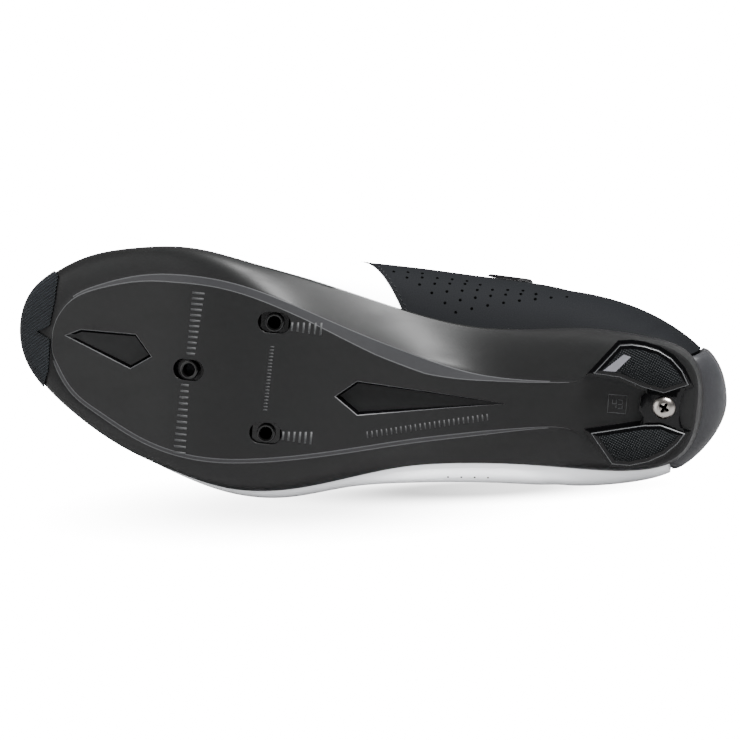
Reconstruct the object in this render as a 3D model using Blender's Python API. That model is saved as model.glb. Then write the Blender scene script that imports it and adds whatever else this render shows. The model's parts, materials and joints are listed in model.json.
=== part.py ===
"""Right cycling shoe, EU 43, lying on its lateral side as in the photo.

Shoe frame while modelling: X from the heel to the toe, Y to the medial side, Z up from the ground plane.
place_in_world() then lays the shoe down: the sole faces -Y, the toe points to -X, the medial side is up.
Tables hold a row per section of the pattern size, in millimetres, graded by the named sizes below.
"""

import math

import bmesh
import bpy
import numpy as np
from mathutils import Matrix, Vector

# Driving sizes
SHOE_LENGTH = 0.2863
BALL_WIDTH = 0.0946
COLLAR_HEIGHT = 0.0850
GAP = 0.0003
WALL = 0.0018
COLLAR_WALL = 0.0028
COUNTER_STEP = 0.0019
COUNTER_FLARE = 0.0018
RIM_INSET = 0.0012
INSOLE_THICKNESS = 0.0030
TONGUE_THICKNESS = 0.0034
CLEAT_SPACING_X = 0.0330
CLEAT_SPACING_Y = 0.0440
CLEAT_REAR = (180.9, -2.1)
SLOT_LENGTH = 0.0130
SLOT_WIDTH = 0.0084
NUT_BARREL = 0.0076
NUT_BORE = 0.0050
NUT_FLANGE = (0.0110, 0.0134)
NUT_RECESS = 0.0005
SHELF_DEPTH = 0.0022
TOE_VENT_DEPTH = 0.0034
MID_VENT_DEPTH = 0.0046
TOE_SPRING_ANGLE = 20.5
SUPPORT_LEAN_LIMIT = 0.35
DIAL_X = 124.0
DIAL_SHARE = 0.74
DIAL_OUTWARD = 0.10
LACE_BOW = 0.0016
LACE_REACH = 0.0075

# The pattern size of the tables
PATTERN_LENGTH = 286.3
PATTERN_WIDTH = 94.6
PATTERN_HEIGHT = 85.0
GRADE = np.array([SHOE_LENGTH / PATTERN_LENGTH, BALL_WIDTH / PATTERN_WIDTH, COLLAR_HEIGHT / PATTERN_HEIGHT])
MM = GRADE[0]

# Sections of the sole from heel to toe.
# Columns: edge x, edge y, edge z, platform x, platform y, scoop from -1 hollow to 1 full
SOLE_HEEL = (9.9, -0.5, 15.0, 12.6, 0.0, 0.3)
SOLE_MEDIAL = (
    (17.2, 21.0, 15.5, 17.6, 18.6, 0.3),
    (34.3, 26.0, 16.0, 36.0, 24.0, 0.7),
    (57.2, 27.1, 17.5, 55.0, 10.5, 0.8),
    (80.1, 24.6, 20.0, 68.0, 5.8, 0.5),
    (103.0, 23.4, 22.8, 96.0, 5.3, 0.2),
    (125.8, 26.4, 23.6, 122.5, 10.7, -0.1),
    (148.7, 31.9, 21.5, 147.0, 18.2, -0.1),
    (171.6, 37.7, 15.5, 171.0, 26.6, 0.0),
    (194.5, 42.5, 10.5, 194.0, 33.2, 0.5),
    (217.4, 45.9, 12.5, 215.0, 35.3, 0.8),
    (240.2, 43.6, 18.8, 236.0, 33.4, 0.8),
    (260.3, 38.0, 26.0, 254.0, 27.6, 0.8),
    (274.6, 29.4, 30.6, 266.0, 20.6, 0.8),
    (282.3, 21.6, 33.0, 271.0, 13.4, 0.8),
)
SOLE_TOE = (286.3, 8.0, 34.5, 273.0, 4.0, 0.8)
SOLE_LATERAL = (
    (17.2, -20.8, 14.5, 17.6, -18.4, 0.3),
    (34.3, -27.4, 14.0, 35.5, -25.0, 0.7),
    (57.2, -28.8, 14.2, 54.5, -15.8, 0.8),
    (80.1, -29.2, 15.0, 69.0, -13.0, 0.5),
    (103.0, -30.9, 16.2, 96.0, -18.5, 0.1),
    (125.8, -34.4, 16.6, 122.5, -23.8, 0.1),
    (148.7, -41.0, 15.0, 147.0, -29.3, 0.3),
    (171.6, -47.1, 11.5, 171.0, -34.2, 0.6),
    (194.5, -48.5, 9.8, 194.0, -37.4, 0.8),
    (217.4, -43.8, 12.2, 214.0, -37.2, 0.8),
    (240.2, -36.5, 18.4, 234.0, -32.4, 0.8),
    (260.3, -26.2, 25.4, 252.0, -24.0, 0.8),
    (274.6, -15.8, 30.2, 264.0, -16.2, 0.8),
    (282.3, -6.8, 32.6, 270.5, -7.2, 0.8),
)

# Sections of the upper at the same stations.
# Columns: widest x, y, z; top edge x, y, z; lean at the top in degrees; puff above the widest line
UPPER_HEEL = (0.0, -0.8, 34.0, 6.5, 0.0, 85.0, 96.0, 0.45)
UPPER_MEDIAL = (
    (12.6, 22.0, 36.0, 14.5, 16.5, 81.0, 92.0, 0.45),
    (32.5, 33.2, 38.0, 33.0, 26.5, 73.5, 88.0, 0.45),
    (56.5, 39.0, 40.0, 56.5, 31.0, 68.5, 84.0, 0.45),
    (80.0, 41.4, 41.0, 79.0, 30.5, 74.0, 78.0, 0.50),
    (103.0, 42.3, 42.0, 98.5, 24.5, 94.0, 66.0, 0.50),
    (125.8, 43.4, 41.0, 116.0, 19.6, 97.0, 52.0, 0.55),
    (148.7, 44.2, 38.0, 134.0, 17.6, 89.0, 46.0, 0.55),
    (171.6, 44.0, 33.0, 151.0, 15.8, 81.0, 40.0, 0.60),
    (194.5, 43.4, 29.0, 166.5, 14.0, 74.0, 34.0, 0.65),
    (217.4, 44.2, 30.0, 179.5, 12.0, 68.8, 24.0, 0.75),
    (240.2, 42.0, 34.0, 190.0, 9.4, 65.6, 14.0, 0.85),
    (260.3, 36.4, 38.5, 196.5, 6.4, 64.0, 6.0, 0.92),
    (274.6, 27.6, 41.5, 199.5, 4.0, 63.2, 3.0, 0.95),
    (281.5, 20.0, 43.0, 200.5, 2.2, 62.9, 2.0, 0.95),
)
UPPER_TOE = (285.2, 7.8, 44.0, 200.8, 0.4, 62.8, 2.0, 0.95)
UPPER_LATERAL = (
    (14.2, -24.2, 27.0, 15.0, -16.0, 80.0, 92.0, 0.45),
    (33.0, -32.9, 25.5, 33.5, -25.0, 71.0, 88.0, 0.45),
    (57.0, -36.8, 24.5, 57.0, -29.0, 65.0, 84.0, 0.45),
    (80.1, -38.0, 24.0, 79.5, -28.5, 70.0, 78.0, 0.50),
    (103.0, -39.4, 24.0, 99.5, -22.5, 92.0, 66.0, 0.50),
    (125.8, -41.7, 23.0, 117.0, -17.6, 95.0, 52.0, 0.55),
    (148.7, -45.4, 22.0, 135.0, -15.6, 87.0, 46.0, 0.55),
    (171.6, -51.2, 20.0, 152.0, -13.8, 79.2, 40.0, 0.60),
    (194.5, -51.6, 21.0, 167.5, -12.2, 72.4, 34.0, 0.65),
    (217.4, -46.0, 25.5, 180.0, -10.4, 67.6, 24.0, 0.75),
    (240.2, -37.6, 32.5, 190.5, -8.2, 65.0, 14.0, 0.85),
    (260.3, -27.2, 38.0, 197.0, -5.6, 63.8, 6.0, 0.92),
    (273.6, -16.2, 41.5, 199.8, -3.2, 63.0, 3.0, 0.95),
    (281.0, -6.6, 43.2, 200.6, -1.4, 62.8, 2.0, 0.95),
)

# Bottom of the sole on its centre line before the toe spring starts: x, z
BOTTOM_LINE = ((8.0, 5.6), (30.0, 5.0), (52.0, 5.6), (72.0, 8.6), (93.0, 10.8), (113.0, 9.4),
               (133.0, 6.0), (150.0, 3.0), (166.0, 0.7), (181.0, 0.0))

# Bevelled band between the platform's edge and its flat, on the medial side: x, width
BAND_MEDIAL = ((50.0, 0.8), (66.0, 1.0), (92.0, 2.6), (118.0, 5.8), (140.0, 5.8), (168.0, 4.2), (205.0, 3.6),
               (224.0, 3.6), (243.0, 2.4), (272.0, 0.8))
BAND_LATERAL = ((60.0, 0.8), (95.0, 2.0))
BAND_SLOPE = 0.27

TOE_SPRING_START = 181.0
TOE_SPRING_RADIUS = 125.0

# Resolution
UPPER_COLUMN_COUNT = 64
SOLE_HALF_COUNT = 32
LOWER_ROWS = (0.0, 0.35, 0.68)
COUNTER_TOP = 0.58
UPPER_ROWS = (0.0, 0.12, 0.24, 0.36, 0.47, COUNTER_TOP, COUNTER_TOP + 0.02, 0.72, 0.82, 0.90, 0.96, 1.0)
COUNTER_MEDIAL = 0.034
COUNTER_LATERAL = 0.042
COUNTER_EDGE = 0.0012

# Plan outlines in pattern millimetres, heel pad in one go round the heel screw
HEEL_WING_MEDIAL = ((54.6, 10.6), (45.0, 23.0), (40.2, 23.7), (35.4, 23.4), (29.6, 22.2), (24.1, 19.4),
                    (19.6, 15.0), (16.4, 9.4), (26.0, 5.3), (34.4, 6.8), (43.7, 9.9))
HEEL_WING_LATERAL = ((53.6, -12.6), (33.1, -7.6), (26.1, -6.9), (16.1, -9.6), (19.0, -14.2), (23.4, -18.6),
                     (29.6, -22.2), (36.9, -24.4), (43.9, -24.4))
HEEL_WEB = ((17.2, 9.4), (26.5, 9.5), (35.6, 9.2), (33.0, 4.6), (35.2, 2.6), (35.4, -2.4), (33.4, -4.6),
            (34.6, -9.6), (26.1, -9.8), (16.4, -9.8), (18.6, -5.0), (19.4, 0.0), (18.8, 4.8))
HEEL_SEAT_Z = 5.0
TOE_PAD_PLAN = ((300.0, 34.0), (277.0, 34.0), (271.8, 29.0), (272.4, 18.9), (273.8, 8.8), (278.8, 5.9),
                (273.4, 3.1), (273.2, -0.8), (273.0, -10.0), (275.6, -20.0), (300.0, -20.0))
TOE_VENT = ((266.5, 5.6), (260.2, 8.6), (237.0, 9.3), (229.8, 1.4), (238.2, -4.3))
MID_VENT = ((154.6, -7.3), (146.6, -0.8), (88.0, -5.2), (145.5, -14.0))
REAR_X = CLEAT_REAR[0] * GRADE[0]
MIDDLE_Y = CLEAT_REAR[1] * GRADE[1]
NUT_PLACES = {
    "cleat_nut_front": (REAR_X + CLEAT_SPACING_X, MIDDLE_Y),
    "cleat_nut_rear_medial": (REAR_X, MIDDLE_Y + CLEAT_SPACING_Y / 2),
    "cleat_nut_rear_lateral": (REAR_X, MIDDLE_Y - CLEAT_SPACING_Y / 2),
}
SCREW_PLACE = (25.5, -0.3)

# Lace guides: side, section x, share of the way from the widest line up to the throat's edge
GUIDES = {"guide_medial_top": ("medial", 138.0, 0.90), "guide_lateral_mid": ("lateral", 176.0, 0.88),
          "guide_medial_front": ("medial", 196.0, 0.88), "guide_lateral_front": ("lateral", 224.0, 0.86)}
DENSITIES = {"outsole": 1300.0, "upper": 1000.0, "tongue": 350.0, "insole": 300.0, "heel": 1200.0,
             "cleat": 7800.0, "toe": 1200.0, "dial": 1300.0, "guide": 1200.0, "medial": 1200.0,
             "lace": 7000.0}


def clear_scene():
    for thing in list(bpy.data.objects):
        bpy.data.objects.remove(thing, do_unlink=True)


def material(name, color, rough=0.5, metal=0.0):
    made = bpy.data.materials.get(name) or bpy.data.materials.new(name)
    made.use_nodes = True
    shader = made.node_tree.nodes["Principled BSDF"]
    shader.inputs["Base Color"].default_value = (*color, 1.0)
    shader.inputs["Roughness"].default_value = rough
    shader.inputs["Metallic"].default_value = metal
    made.diffuse_color = (*color, 1.0)
    return made


def solid(name, verts, faces, look=None):
    """A closed mesh object with its faces turned outward."""
    mesh = bpy.data.meshes.new(name)
    mesh.from_pydata([tuple(map(float, v)) for v in verts], [], [tuple(map(int, f)) for f in faces])
    work = bmesh.new()
    work.from_mesh(mesh)
    bmesh.ops.remove_doubles(work, verts=work.verts, dist=1e-6)
    bmesh.ops.dissolve_degenerate(work, edges=work.edges, dist=1e-6)
    bmesh.ops.recalc_face_normals(work, faces=work.faces)
    if work.calc_volume(signed=True) < 0:
        bmesh.ops.reverse_faces(work, faces=work.faces)
    work.to_mesh(mesh)
    work.free()
    made = bpy.data.objects.new(name, mesh)
    bpy.context.scene.collection.objects.link(made)
    if look:
        mesh.materials.append(look)
    return made


def combine(target, others, operation):
    """Applies an exact Boolean with each of the others, then removes them."""
    for other in others:
        change = target.modifiers.new(operation.lower(), "BOOLEAN")
        change.operation = operation
        change.solver = "EXACT"
        change.object = other
        bpy.context.view_layer.update()
        graph = bpy.context.evaluated_depsgraph_get()
        made = bpy.data.meshes.new_from_object(target.evaluated_get(graph))
        old = target.data
        target.modifiers.clear()
        target.data = made
        bpy.data.meshes.remove(old)
        bpy.data.objects.remove(other, do_unlink=True)
    tidy_mesh(target)
    return target


def tidy_mesh(target):
    work = bmesh.new()
    work.from_mesh(target.data)
    bmesh.ops.triangulate(work, faces=[f for f in work.faces if len(f.verts) > 4])
    open_edges = [e for e in work.edges if len(e.link_faces) == 1]
    bmesh.ops.holes_fill(work, edges=open_edges, sides=4)
    work.to_mesh(target.data)
    work.free()


def periodic_spline(knots, values, at):
    """Periodic cubic spline with period 1 through values at knots."""
    n = len(knots)
    step = np.diff(np.append(knots, knots[0] + 1.0))
    matrix = np.zeros((n, n))
    right = np.zeros((n, values.shape[1]))
    slope = (np.roll(values, -1, 0) - values) / step[:, None]
    for k in range(n):
        matrix[k, k - 1] += step[k - 1]
        matrix[k, k] += 2.0 * (step[k - 1] + step[k])
        matrix[k, (k + 1) % n] += step[k]
        right[k] = 6.0 * (slope[k] - slope[k - 1])
    bend = np.linalg.solve(matrix, right)
    at = np.mod(np.asarray(at, float), 1.0)
    k = np.searchsorted(knots, at, side="right") - 1
    d = (at - knots[k])[:, None]
    h = step[k][:, None]
    m0 = bend[k]
    m1 = bend[(k + 1) % n]
    ahead = slope[k] - h * (2.0 * m0 + m1) / 6.0
    return values[k] + d * ahead + d ** 2 * m0 / 2.0 + d ** 3 * (m1 - m0) / (6.0 * h)


def loop_table(heel, medial, toe, lateral):
    return np.array([heel, *medial, toe, *reversed(lateral)], float)


SOLE_TABLE = loop_table(SOLE_HEEL, SOLE_MEDIAL, SOLE_TOE, SOLE_LATERAL)
UPPER_TABLE = loop_table(UPPER_HEEL, UPPER_MEDIAL, UPPER_TOE, UPPER_LATERAL)
CHORDS = np.linalg.norm(np.roll(SOLE_TABLE[:, :2], -1, 0) - SOLE_TABLE[:, :2], axis=1)
KNOTS = np.concatenate([[0.0], np.cumsum(CHORDS)[:-1]]) / CHORDS.sum()
TOE_PARAMETER = KNOTS[len(SOLE_MEDIAL) + 1]


def smooth(low, high, x):
    t = np.clip((np.asarray(x, float) - low) / (high - low), 0.0, 1.0)
    return t * t * (3.0 - 2.0 * t)


def bottom_z(x):
    """Height of the sole's bottom on its centre line, in metres, from x in metres."""
    x = np.asarray(x, float)
    line = np.array(BOTTOM_LINE) * GRADE[[0, 2]]
    tangent = np.gradient(line[:, 1], line[:, 0])
    tangent[-1] = 0.0
    k = np.clip(np.searchsorted(line[:, 0], x) - 1, 0, len(line) - 2)
    h = line[k + 1, 0] - line[k, 0]
    t = np.clip((x - line[k, 0]) / h, 0.0, 1.0)
    flat = ((2 * t ** 3 - 3 * t ** 2 + 1) * line[k, 1] + (t ** 3 - 2 * t ** 2 + t) * h * tangent[k]
            + (3 * t ** 2 - 2 * t ** 3) * line[k + 1, 1] + (t ** 3 - t ** 2) * h * tangent[k + 1])
    angle = math.radians(TOE_SPRING_ANGLE)
    start = TOE_SPRING_START * MM
    radius = TOE_SPRING_RADIUS * MM
    length = radius * math.sin(angle)
    run = np.clip(x - start, 0.0, length)
    arc = radius - np.sqrt(radius ** 2 - run ** 2)
    straight = np.clip(x - start - length, 0.0, None) * math.tan(angle)
    return np.where(x < start, flat, (arc + straight) * GRADE[2] / MM)


def sole_loops(u):
    table = periodic_spline(KNOTS, SOLE_TABLE, u)
    edge = table[:, :3] * GRADE
    platform = table[:, 3:5] * GRADE[:2]
    return edge, platform, np.clip(table[:, 5], -1.0, 1.0)


def inset(points, u, distance):
    """The loop moved inward in plan by a distance, at the same parameters."""
    step = 0.002
    ahead = sole_loops(np.asarray(u) + step)[0][:, :2]
    behind = sole_loops(np.asarray(u) - step)[0][:, :2]
    along = ahead - behind
    along /= np.linalg.norm(along, axis=1)[:, None]
    moved = points.copy()
    moved[:, 0] += along[:, 1] * distance
    moved[:, 1] -= along[:, 0] * distance
    return moved


def bezier(points, t):
    a, b, c, d = points
    return (1 - t) ** 3 * a + 3 * (1 - t) ** 2 * t * b + 3 * (1 - t) * t ** 2 * c + t ** 3 * d


UP = np.array([0.0, 0.0, 1.0])


def upper_surface(u, rows=None):
    """The last's outer surface: an array of columns x rows x 3. rows are (part, share) pairs."""
    u = np.atleast_1d(u)
    if rows is None:
        rows = [("low", t) for t in LOWER_ROWS] + [("high", t) for t in UPPER_ROWS]
    edge, _, _ = sole_loops(u)
    table = periodic_spline(KNOTS, UPPER_TABLE, u)
    start = inset(edge, u, RIM_INSET)
    start[:, 2] += GAP
    wide = table[:, :3] * GRADE
    top = table[:, 3:6] * GRADE
    lean = np.radians(table[:, 6])[:, None]
    puff = table[:, 7][:, None]
    rise = (wide - start) * UP
    out = (wide - start) * (1 - UP)
    low = (start, start + 0.55 * out + 0.12 * rise, wide - 0.55 * rise, wide)
    height = (top - wide) * UP
    flat = (top - wide) * (1 - UP)
    reach = np.linalg.norm(top - wide, axis=1)[:, None]
    width = np.linalg.norm(flat, axis=1)[:, None]
    toward = flat / np.maximum(width, 1e-6)
    arrive = np.cos(lean) * toward + np.sin(lean) * UP
    high = (wide, wide + puff * height, top - 0.36 * reach * arrive, top)
    grid = [bezier(low if part == "low" else high, t) for part, t in rows]
    return np.stack(grid, axis=1)


def grid_normals(grid):
    """Outward normals of a grid that is periodic in its columns."""
    along = np.roll(grid, -1, 0) - np.roll(grid, 1, 0)
    up = np.gradient(grid, axis=1)
    normal = np.cross(along, up)
    normal /= np.maximum(np.linalg.norm(normal, axis=2), 1e-12)[:, :, None]
    return -normal


def upper_parameters():
    """Column parameters, evenly spread, with close pairs at the counter's two front edges."""
    even = (np.arange(UPPER_COLUMN_COUNT) + 0.5) / UPPER_COLUMN_COUNT
    pairs = [COUNTER_MEDIAL, COUNTER_MEDIAL + COUNTER_EDGE / 0.65, 1 - COUNTER_LATERAL,
             1 - COUNTER_LATERAL - COUNTER_EDGE / 0.65]
    keep = [v for v in even if min(abs(v - p) for p in pairs) > 0.004]
    return np.array(sorted(keep + pairs))


COLUMNS_U = upper_parameters()
ROW_KEYS = [("low", t) for t in LOWER_ROWS] + [("high", t) for t in UPPER_ROWS]
GRID = upper_surface(COLUMNS_U)
NORMALS = grid_normals(GRID)
IN_COUNTER_COLUMN = (COLUMNS_U <= COUNTER_MEDIAL + 1e-9) | (COLUMNS_U >= 1 - COUNTER_LATERAL - 1e-9)
IN_COUNTER_ROW = np.array([part == "low" or t <= COUNTER_TOP for part, t in ROW_KEYS])
COUNTER_MASK = IN_COUNTER_COLUMN[:, None] & IN_COUNTER_ROW[None, :]


def wall_thickness():
    high = np.array([0.0 if part == "low" else t for part, t in ROW_KEYS])
    heelward = 1.0 - smooth(0.10, 0.16, np.abs((COLUMNS_U + 0.5) % 1.0 - 0.5) / 1.0)
    padded = smooth(0.6, 1.0, high)[None, :] * smooth(0.0, 1.0, heelward)[:, None]
    return WALL + (COLLAR_WALL - WALL) * padded


def ring_faces(columns, rows, start=0):
    faces = []
    for j in range(columns):
        n = (j + 1) % columns
        for i in range(rows - 1):
            here, there = start + j * rows + i, start + n * rows + i
            faces.append((here, there, there + 1, here + 1))
    return faces


def wall_solid(name, outer, inner, look=None, rounded=True):
    """A closed ring from an outer and an inner grid, joined at the bottom and at the top edge."""
    columns, rows = outer.shape[:2]
    verts = list(outer.reshape(-1, 3)) + list(inner.reshape(-1, 3))
    base = columns * rows
    faces = ring_faces(columns, rows) + [f[::-1] for f in ring_faces(columns, rows, base)]
    lip = len(verts)
    top = (outer[:, -1] + inner[:, -1]) / 2
    rise = outer[:, -1] - outer[:, -2]
    rise /= np.linalg.norm(rise, axis=1)[:, None]
    thick = np.linalg.norm(outer[:, -1] - inner[:, -1], axis=1)[:, None]
    verts += list(top + rise * thick * 0.30)
    for j in range(columns):
        n = (j + 1) % columns
        o0, o1 = j * rows, n * rows
        i0, i1 = base + j * rows, base + n * rows
        faces.append((o1, o0, i0, i1))
        if rounded:
            faces.append((o0 + rows - 1, o1 + rows - 1, lip + n, lip + j))
            faces.append((lip + j, lip + n, i1 + rows - 1, i0 + rows - 1))
        else:
            faces.append((o0 + rows - 1, o1 + rows - 1, i1 + rows - 1, i0 + rows - 1))
    if not rounded:
        verts = verts[:lip]
    return solid(name, verts, faces, look)


def make_upper(look):
    step = np.where(COUNTER_MASK, COUNTER_STEP, 0.0)
    outer = GRID - NORMALS * step[:, :, None]
    thin = wall_thickness() + np.where(COUNTER_MASK, COUNTER_STEP * 0.72, 0.0)
    inner = GRID - NORMALS * thin[:, :, None]
    return wall_solid("upper", outer, inner, look)


def fat_upper():
    """Cutter for the pieces that lie on the upper: its wall, thicker outside by the gap and thick inside."""
    return wall_solid("fat_upper", GRID + NORMALS * (GAP + 0.00005), GRID - NORMALS * 0.009, None, False)


def patch_solid(name, outer, inner, look):
    """A closed plate from two open grids of the same shape."""
    columns, rows = outer.shape[:2]
    verts = list(outer.reshape(-1, 3)) + list(inner.reshape(-1, 3))
    base = columns * rows
    faces = []
    for j in range(columns - 1):
        for i in range(rows - 1):
            a, b, c, d = j * rows + i, (j + 1) * rows + i, (j + 1) * rows + i + 1, j * rows + i + 1
            faces.append((a, b, c, d))
            faces.append((base + d, base + c, base + b, base + a))
    border = [j * rows for j in range(columns)] + [(columns - 1) * rows + i for i in range(1, rows)]
    border += [j * rows + rows - 1 for j in range(columns - 2, -1, -1)] + [i for i in range(rows - 2, 0, -1)]
    for k, a in enumerate(border):
        b = border[(k + 1) % len(border)]
        faces.append((b, a, base + a, base + b))
    return solid(name, verts, faces, look)


def make_counter(look):
    order = np.argsort((COLUMNS_U + 0.5) % 1.0)
    chosen = [j for j in order if IN_COUNTER_COLUMN[j]]
    rows = np.where(IN_COUNTER_ROW)[0]
    grid = GRID[np.ix_(chosen, rows)]
    normal = NORMALS[np.ix_(chosen, rows)]
    rounding = np.zeros(grid.shape[:2])
    rounding[[0, -1], :] = 0.0006
    rounding[:, -1] = 0.0006
    flare = COUNTER_FLARE * smooth(0.006, 0.030, (COLUMNS_U[chosen] + 0.5) % 1.0 - 0.5)
    rise = np.minimum(np.arange(len(rows)) / 2.0, 1.0)
    outer = grid + normal * (np.outer(flare, rise) - rounding)[:, :, None]
    inner = grid - normal * (COUNTER_STEP - GAP - 0.00005)
    return patch_solid("heel_counter", outer, inner, look)


def paired_parameters(count):
    """Parameters up the medial side from heel to toe, then down the lateral side, in matching steps."""
    share = np.arange(count + 1) / count
    medial = TOE_PARAMETER * share
    lateral = 1.0 - (1.0 - TOE_PARAMETER) * share
    return medial, lateral


def cross_fill(verts, ring, count, heights):
    """Faces across a loop of 2*count columns, between matching columns. heights gives z."""
    def across(i):
        medial = verts[ring + i]
        lateral = verts[ring + (2 * count - i) % (2 * count)]
        return medial, lateral
    faces = []
    middle = {}
    for i in range(1, count):
        medial, lateral = across(i)
        row = [ring + i]
        for share in (0.25, 0.5, 0.75):
            point = medial * (1 - share) + lateral * share
            point = np.array([point[0], point[1], heights(point[0], point[1], medial[2], lateral[2], share)])
            verts.append(point)
            row.append(len(verts) - 1)
        row.append(ring + 2 * count - i)
        middle[i] = row
    for i in range(1, count - 1):
        for k in range(4):
            faces.append((middle[i][k], middle[i][k + 1], middle[i + 1][k + 1], middle[i + 1][k]))
    for k in range(4):
        faces.append((ring, middle[1][k + 1], middle[1][k]))
        faces.append((ring + count, middle[count - 1][k], middle[count - 1][k + 1]))
    return faces


def dish_drop(x):
    return 0.0012 - 0.0010 * smooth(212.0 * MM, 245.0 * MM, x)


def dish_sag(x):
    ahead = 1.0 - smooth(205.0 * MM, 240.0 * MM, x)
    behind = 1.0 - smooth(130.0 * MM, 170.0 * MM, x)
    return 0.0015 * (ahead + behind)


def dish_height(x, y, medial_z, lateral_z, share):
    sag = 1.0 - (2.0 * share - 1.0) ** 2
    return medial_z * (1 - share) + lateral_z * share - float(dish_sag(x)) * sag


def sole_columns():
    medial, lateral = paired_parameters(SOLE_HALF_COUNT)
    return np.concatenate([medial, lateral[::-1][1:-1]])


def band_width(platform):
    """Width of the bevelled band at each platform point."""
    x = platform[:, 0]
    sides = [np.interp(x, np.array(rows)[:, 0] * MM, np.array(rows)[:, 1] * 0.001)
             for rows in (BAND_LATERAL, BAND_MEDIAL)]
    share = smooth(-0.004, 0.004, platform[:, 1] + 0.0045)
    return sides[0] * (1.0 - share) + sides[1] * share


def make_sole(name, grow, look=None):
    """The sole plate. grow moves its outside and bottom outward; it is 0 for the part itself."""
    u = sole_columns()
    edge, platform, scoop = sole_loops(u)
    low = np.column_stack([platform, bottom_z(platform[:, 0])])
    band = band_width(platform)
    low[:, 2] += BAND_SLOPE * band - grow
    edge_low = inset(edge, u, 0.0003 - grow)
    edge_low[:, 2] -= 0.0016
    edge_top = inset(edge, u, -grow)
    centre = low * 0.5 + edge_low * 0.5
    full = np.column_stack([edge_low[:, :2], low[:, 2]])
    hollow = np.column_stack([low[:, :2], edge_low[:, 2]])
    weight = ((1.0 + scoop) / 2.0)[:, None]
    control = full * weight + hollow * (1.0 - weight)
    control = control * 0.92 + centre * 0.08
    loops = []
    dish = inset(edge, u, 0.0085)
    dish[:, 2] = edge[:, 2] - dish_drop(edge[:, 0])
    rim = inset(edge, u, 0.0040)
    loops.append(dish)
    loops.append(rim)
    loops.append(edge_top)
    loops.append(edge_low)
    for t in (0.22, 0.44, 0.66, 0.86):
        loops.append((1 - t) ** 2 * edge_low + 2 * (1 - t) * t * control + t * t * low)
    loops.append(low)
    toward = np.column_stack([0.20 * (145.0 * MM - platform[:, 0]), -0.0045 - platform[:, 1]])
    toward /= np.linalg.norm(toward, axis=1)[:, None]
    flat = platform + toward * band[:, None]
    loops.append(np.column_stack([flat, bottom_z(flat[:, 0]) - grow]))
    count = len(u)
    verts = [p for loop in loops for p in loop]
    faces = []
    for k in range(len(loops) - 1):
        for j in range(count):
            n = (j + 1) % count
            faces.append((k * count + j, k * count + n, (k + 1) * count + n, (k + 1) * count + j))
    faces += cross_fill(verts, 0, SOLE_HALF_COUNT, dish_height)
    last = (len(loops) - 1) * count
    faces += cross_fill(verts, last, SOLE_HALF_COUNT,
                        lambda x, y, a, b, s: float(bottom_z(x)) - grow)
    return solid(name, verts, faces, look)


def prism(name, plan, low, high):
    """A prism over a plan outline in pattern millimetres. low and high give z in metres from x in metres."""
    points = [np.array(p) * GRADE[:2] for p in plan]
    n = len(points)
    verts = [(p[0], p[1], low(p[0])) for p in points] + [(p[0], p[1], high(p[0])) for p in points]
    faces = [tuple(range(n))[::-1], tuple(range(n, 2 * n))]
    faces += [(k, (k + 1) % n, n + (k + 1) % n, n + k) for k in range(n)]
    made = solid(name, verts, faces)
    work = bmesh.new()
    work.from_mesh(made.data)
    bmesh.ops.triangulate(work, faces=[f for f in work.faces if len(f.verts) > 4])
    work.to_mesh(made.data)
    work.free()
    return made


def cone(name, centre, axis, radius_low, radius_high, low, high, sides=24, look=None, turn=0.0):
    """A frustum along an axis from centre."""
    axis = Vector(axis).normalized()
    frame = axis.to_track_quat("Z", "Y").to_matrix()
    centre = Vector(centre)
    verts = []
    for radius, height in ((radius_low, low), (radius_high, high)):
        for k in range(sides):
            angle = 2 * math.pi * k / sides + turn
            local = Vector((radius * math.cos(angle), radius * math.sin(angle), height))
            verts.append(centre + frame @ local)
    faces = [tuple(range(sides))[::-1], tuple(range(sides, 2 * sides))]
    faces += [(k, (k + 1) % sides, sides + (k + 1) % sides, sides + k) for k in range(sides)]
    return solid(name, verts, faces, look)


def lathe(name, centre, axis, profile, sides, look=None):
    """A turned solid from (radius, height) rows, closed by flat ends."""
    axis = Vector(axis).normalized()
    frame = axis.to_track_quat("Z", "Y").to_matrix()
    centre = Vector(centre)
    verts = []
    for radius, height in profile:
        for k in range(sides):
            angle = 2 * math.pi * k / sides
            local = Vector((radius * math.cos(angle), radius * math.sin(angle), height))
            verts.append(centre + frame @ local)
    last = (len(profile) - 1) * sides
    faces = [tuple(range(sides))[::-1], tuple(range(last, last + sides))]
    for ring in range(len(profile) - 1):
        start = ring * sides
        faces += [(start + k, start + (k + 1) % sides, start + sides + (k + 1) % sides, start + sides + k)
                  for k in range(sides)]
    return solid(name, verts, faces, look)


def block(name, centre, size, look=None, turn=None):
    """A box with its centre and sizes, turned by a 3 x 3 matrix."""
    turn = turn or Matrix.Identity(3)
    centre = Vector(centre)
    verts = []
    for z in (-0.5, 0.5):
        for x, y in ((-0.5, -0.5), (0.5, -0.5), (0.5, 0.5), (-0.5, 0.5)):
            verts.append(centre + turn @ Vector((x * size[0], y * size[1], z * size[2])))
    faces = [(3, 2, 1, 0), (4, 5, 6, 7), (0, 1, 5, 4), (1, 2, 6, 5), (2, 3, 7, 6), (3, 0, 4, 7)]
    return solid(name, verts, faces, look)


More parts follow.
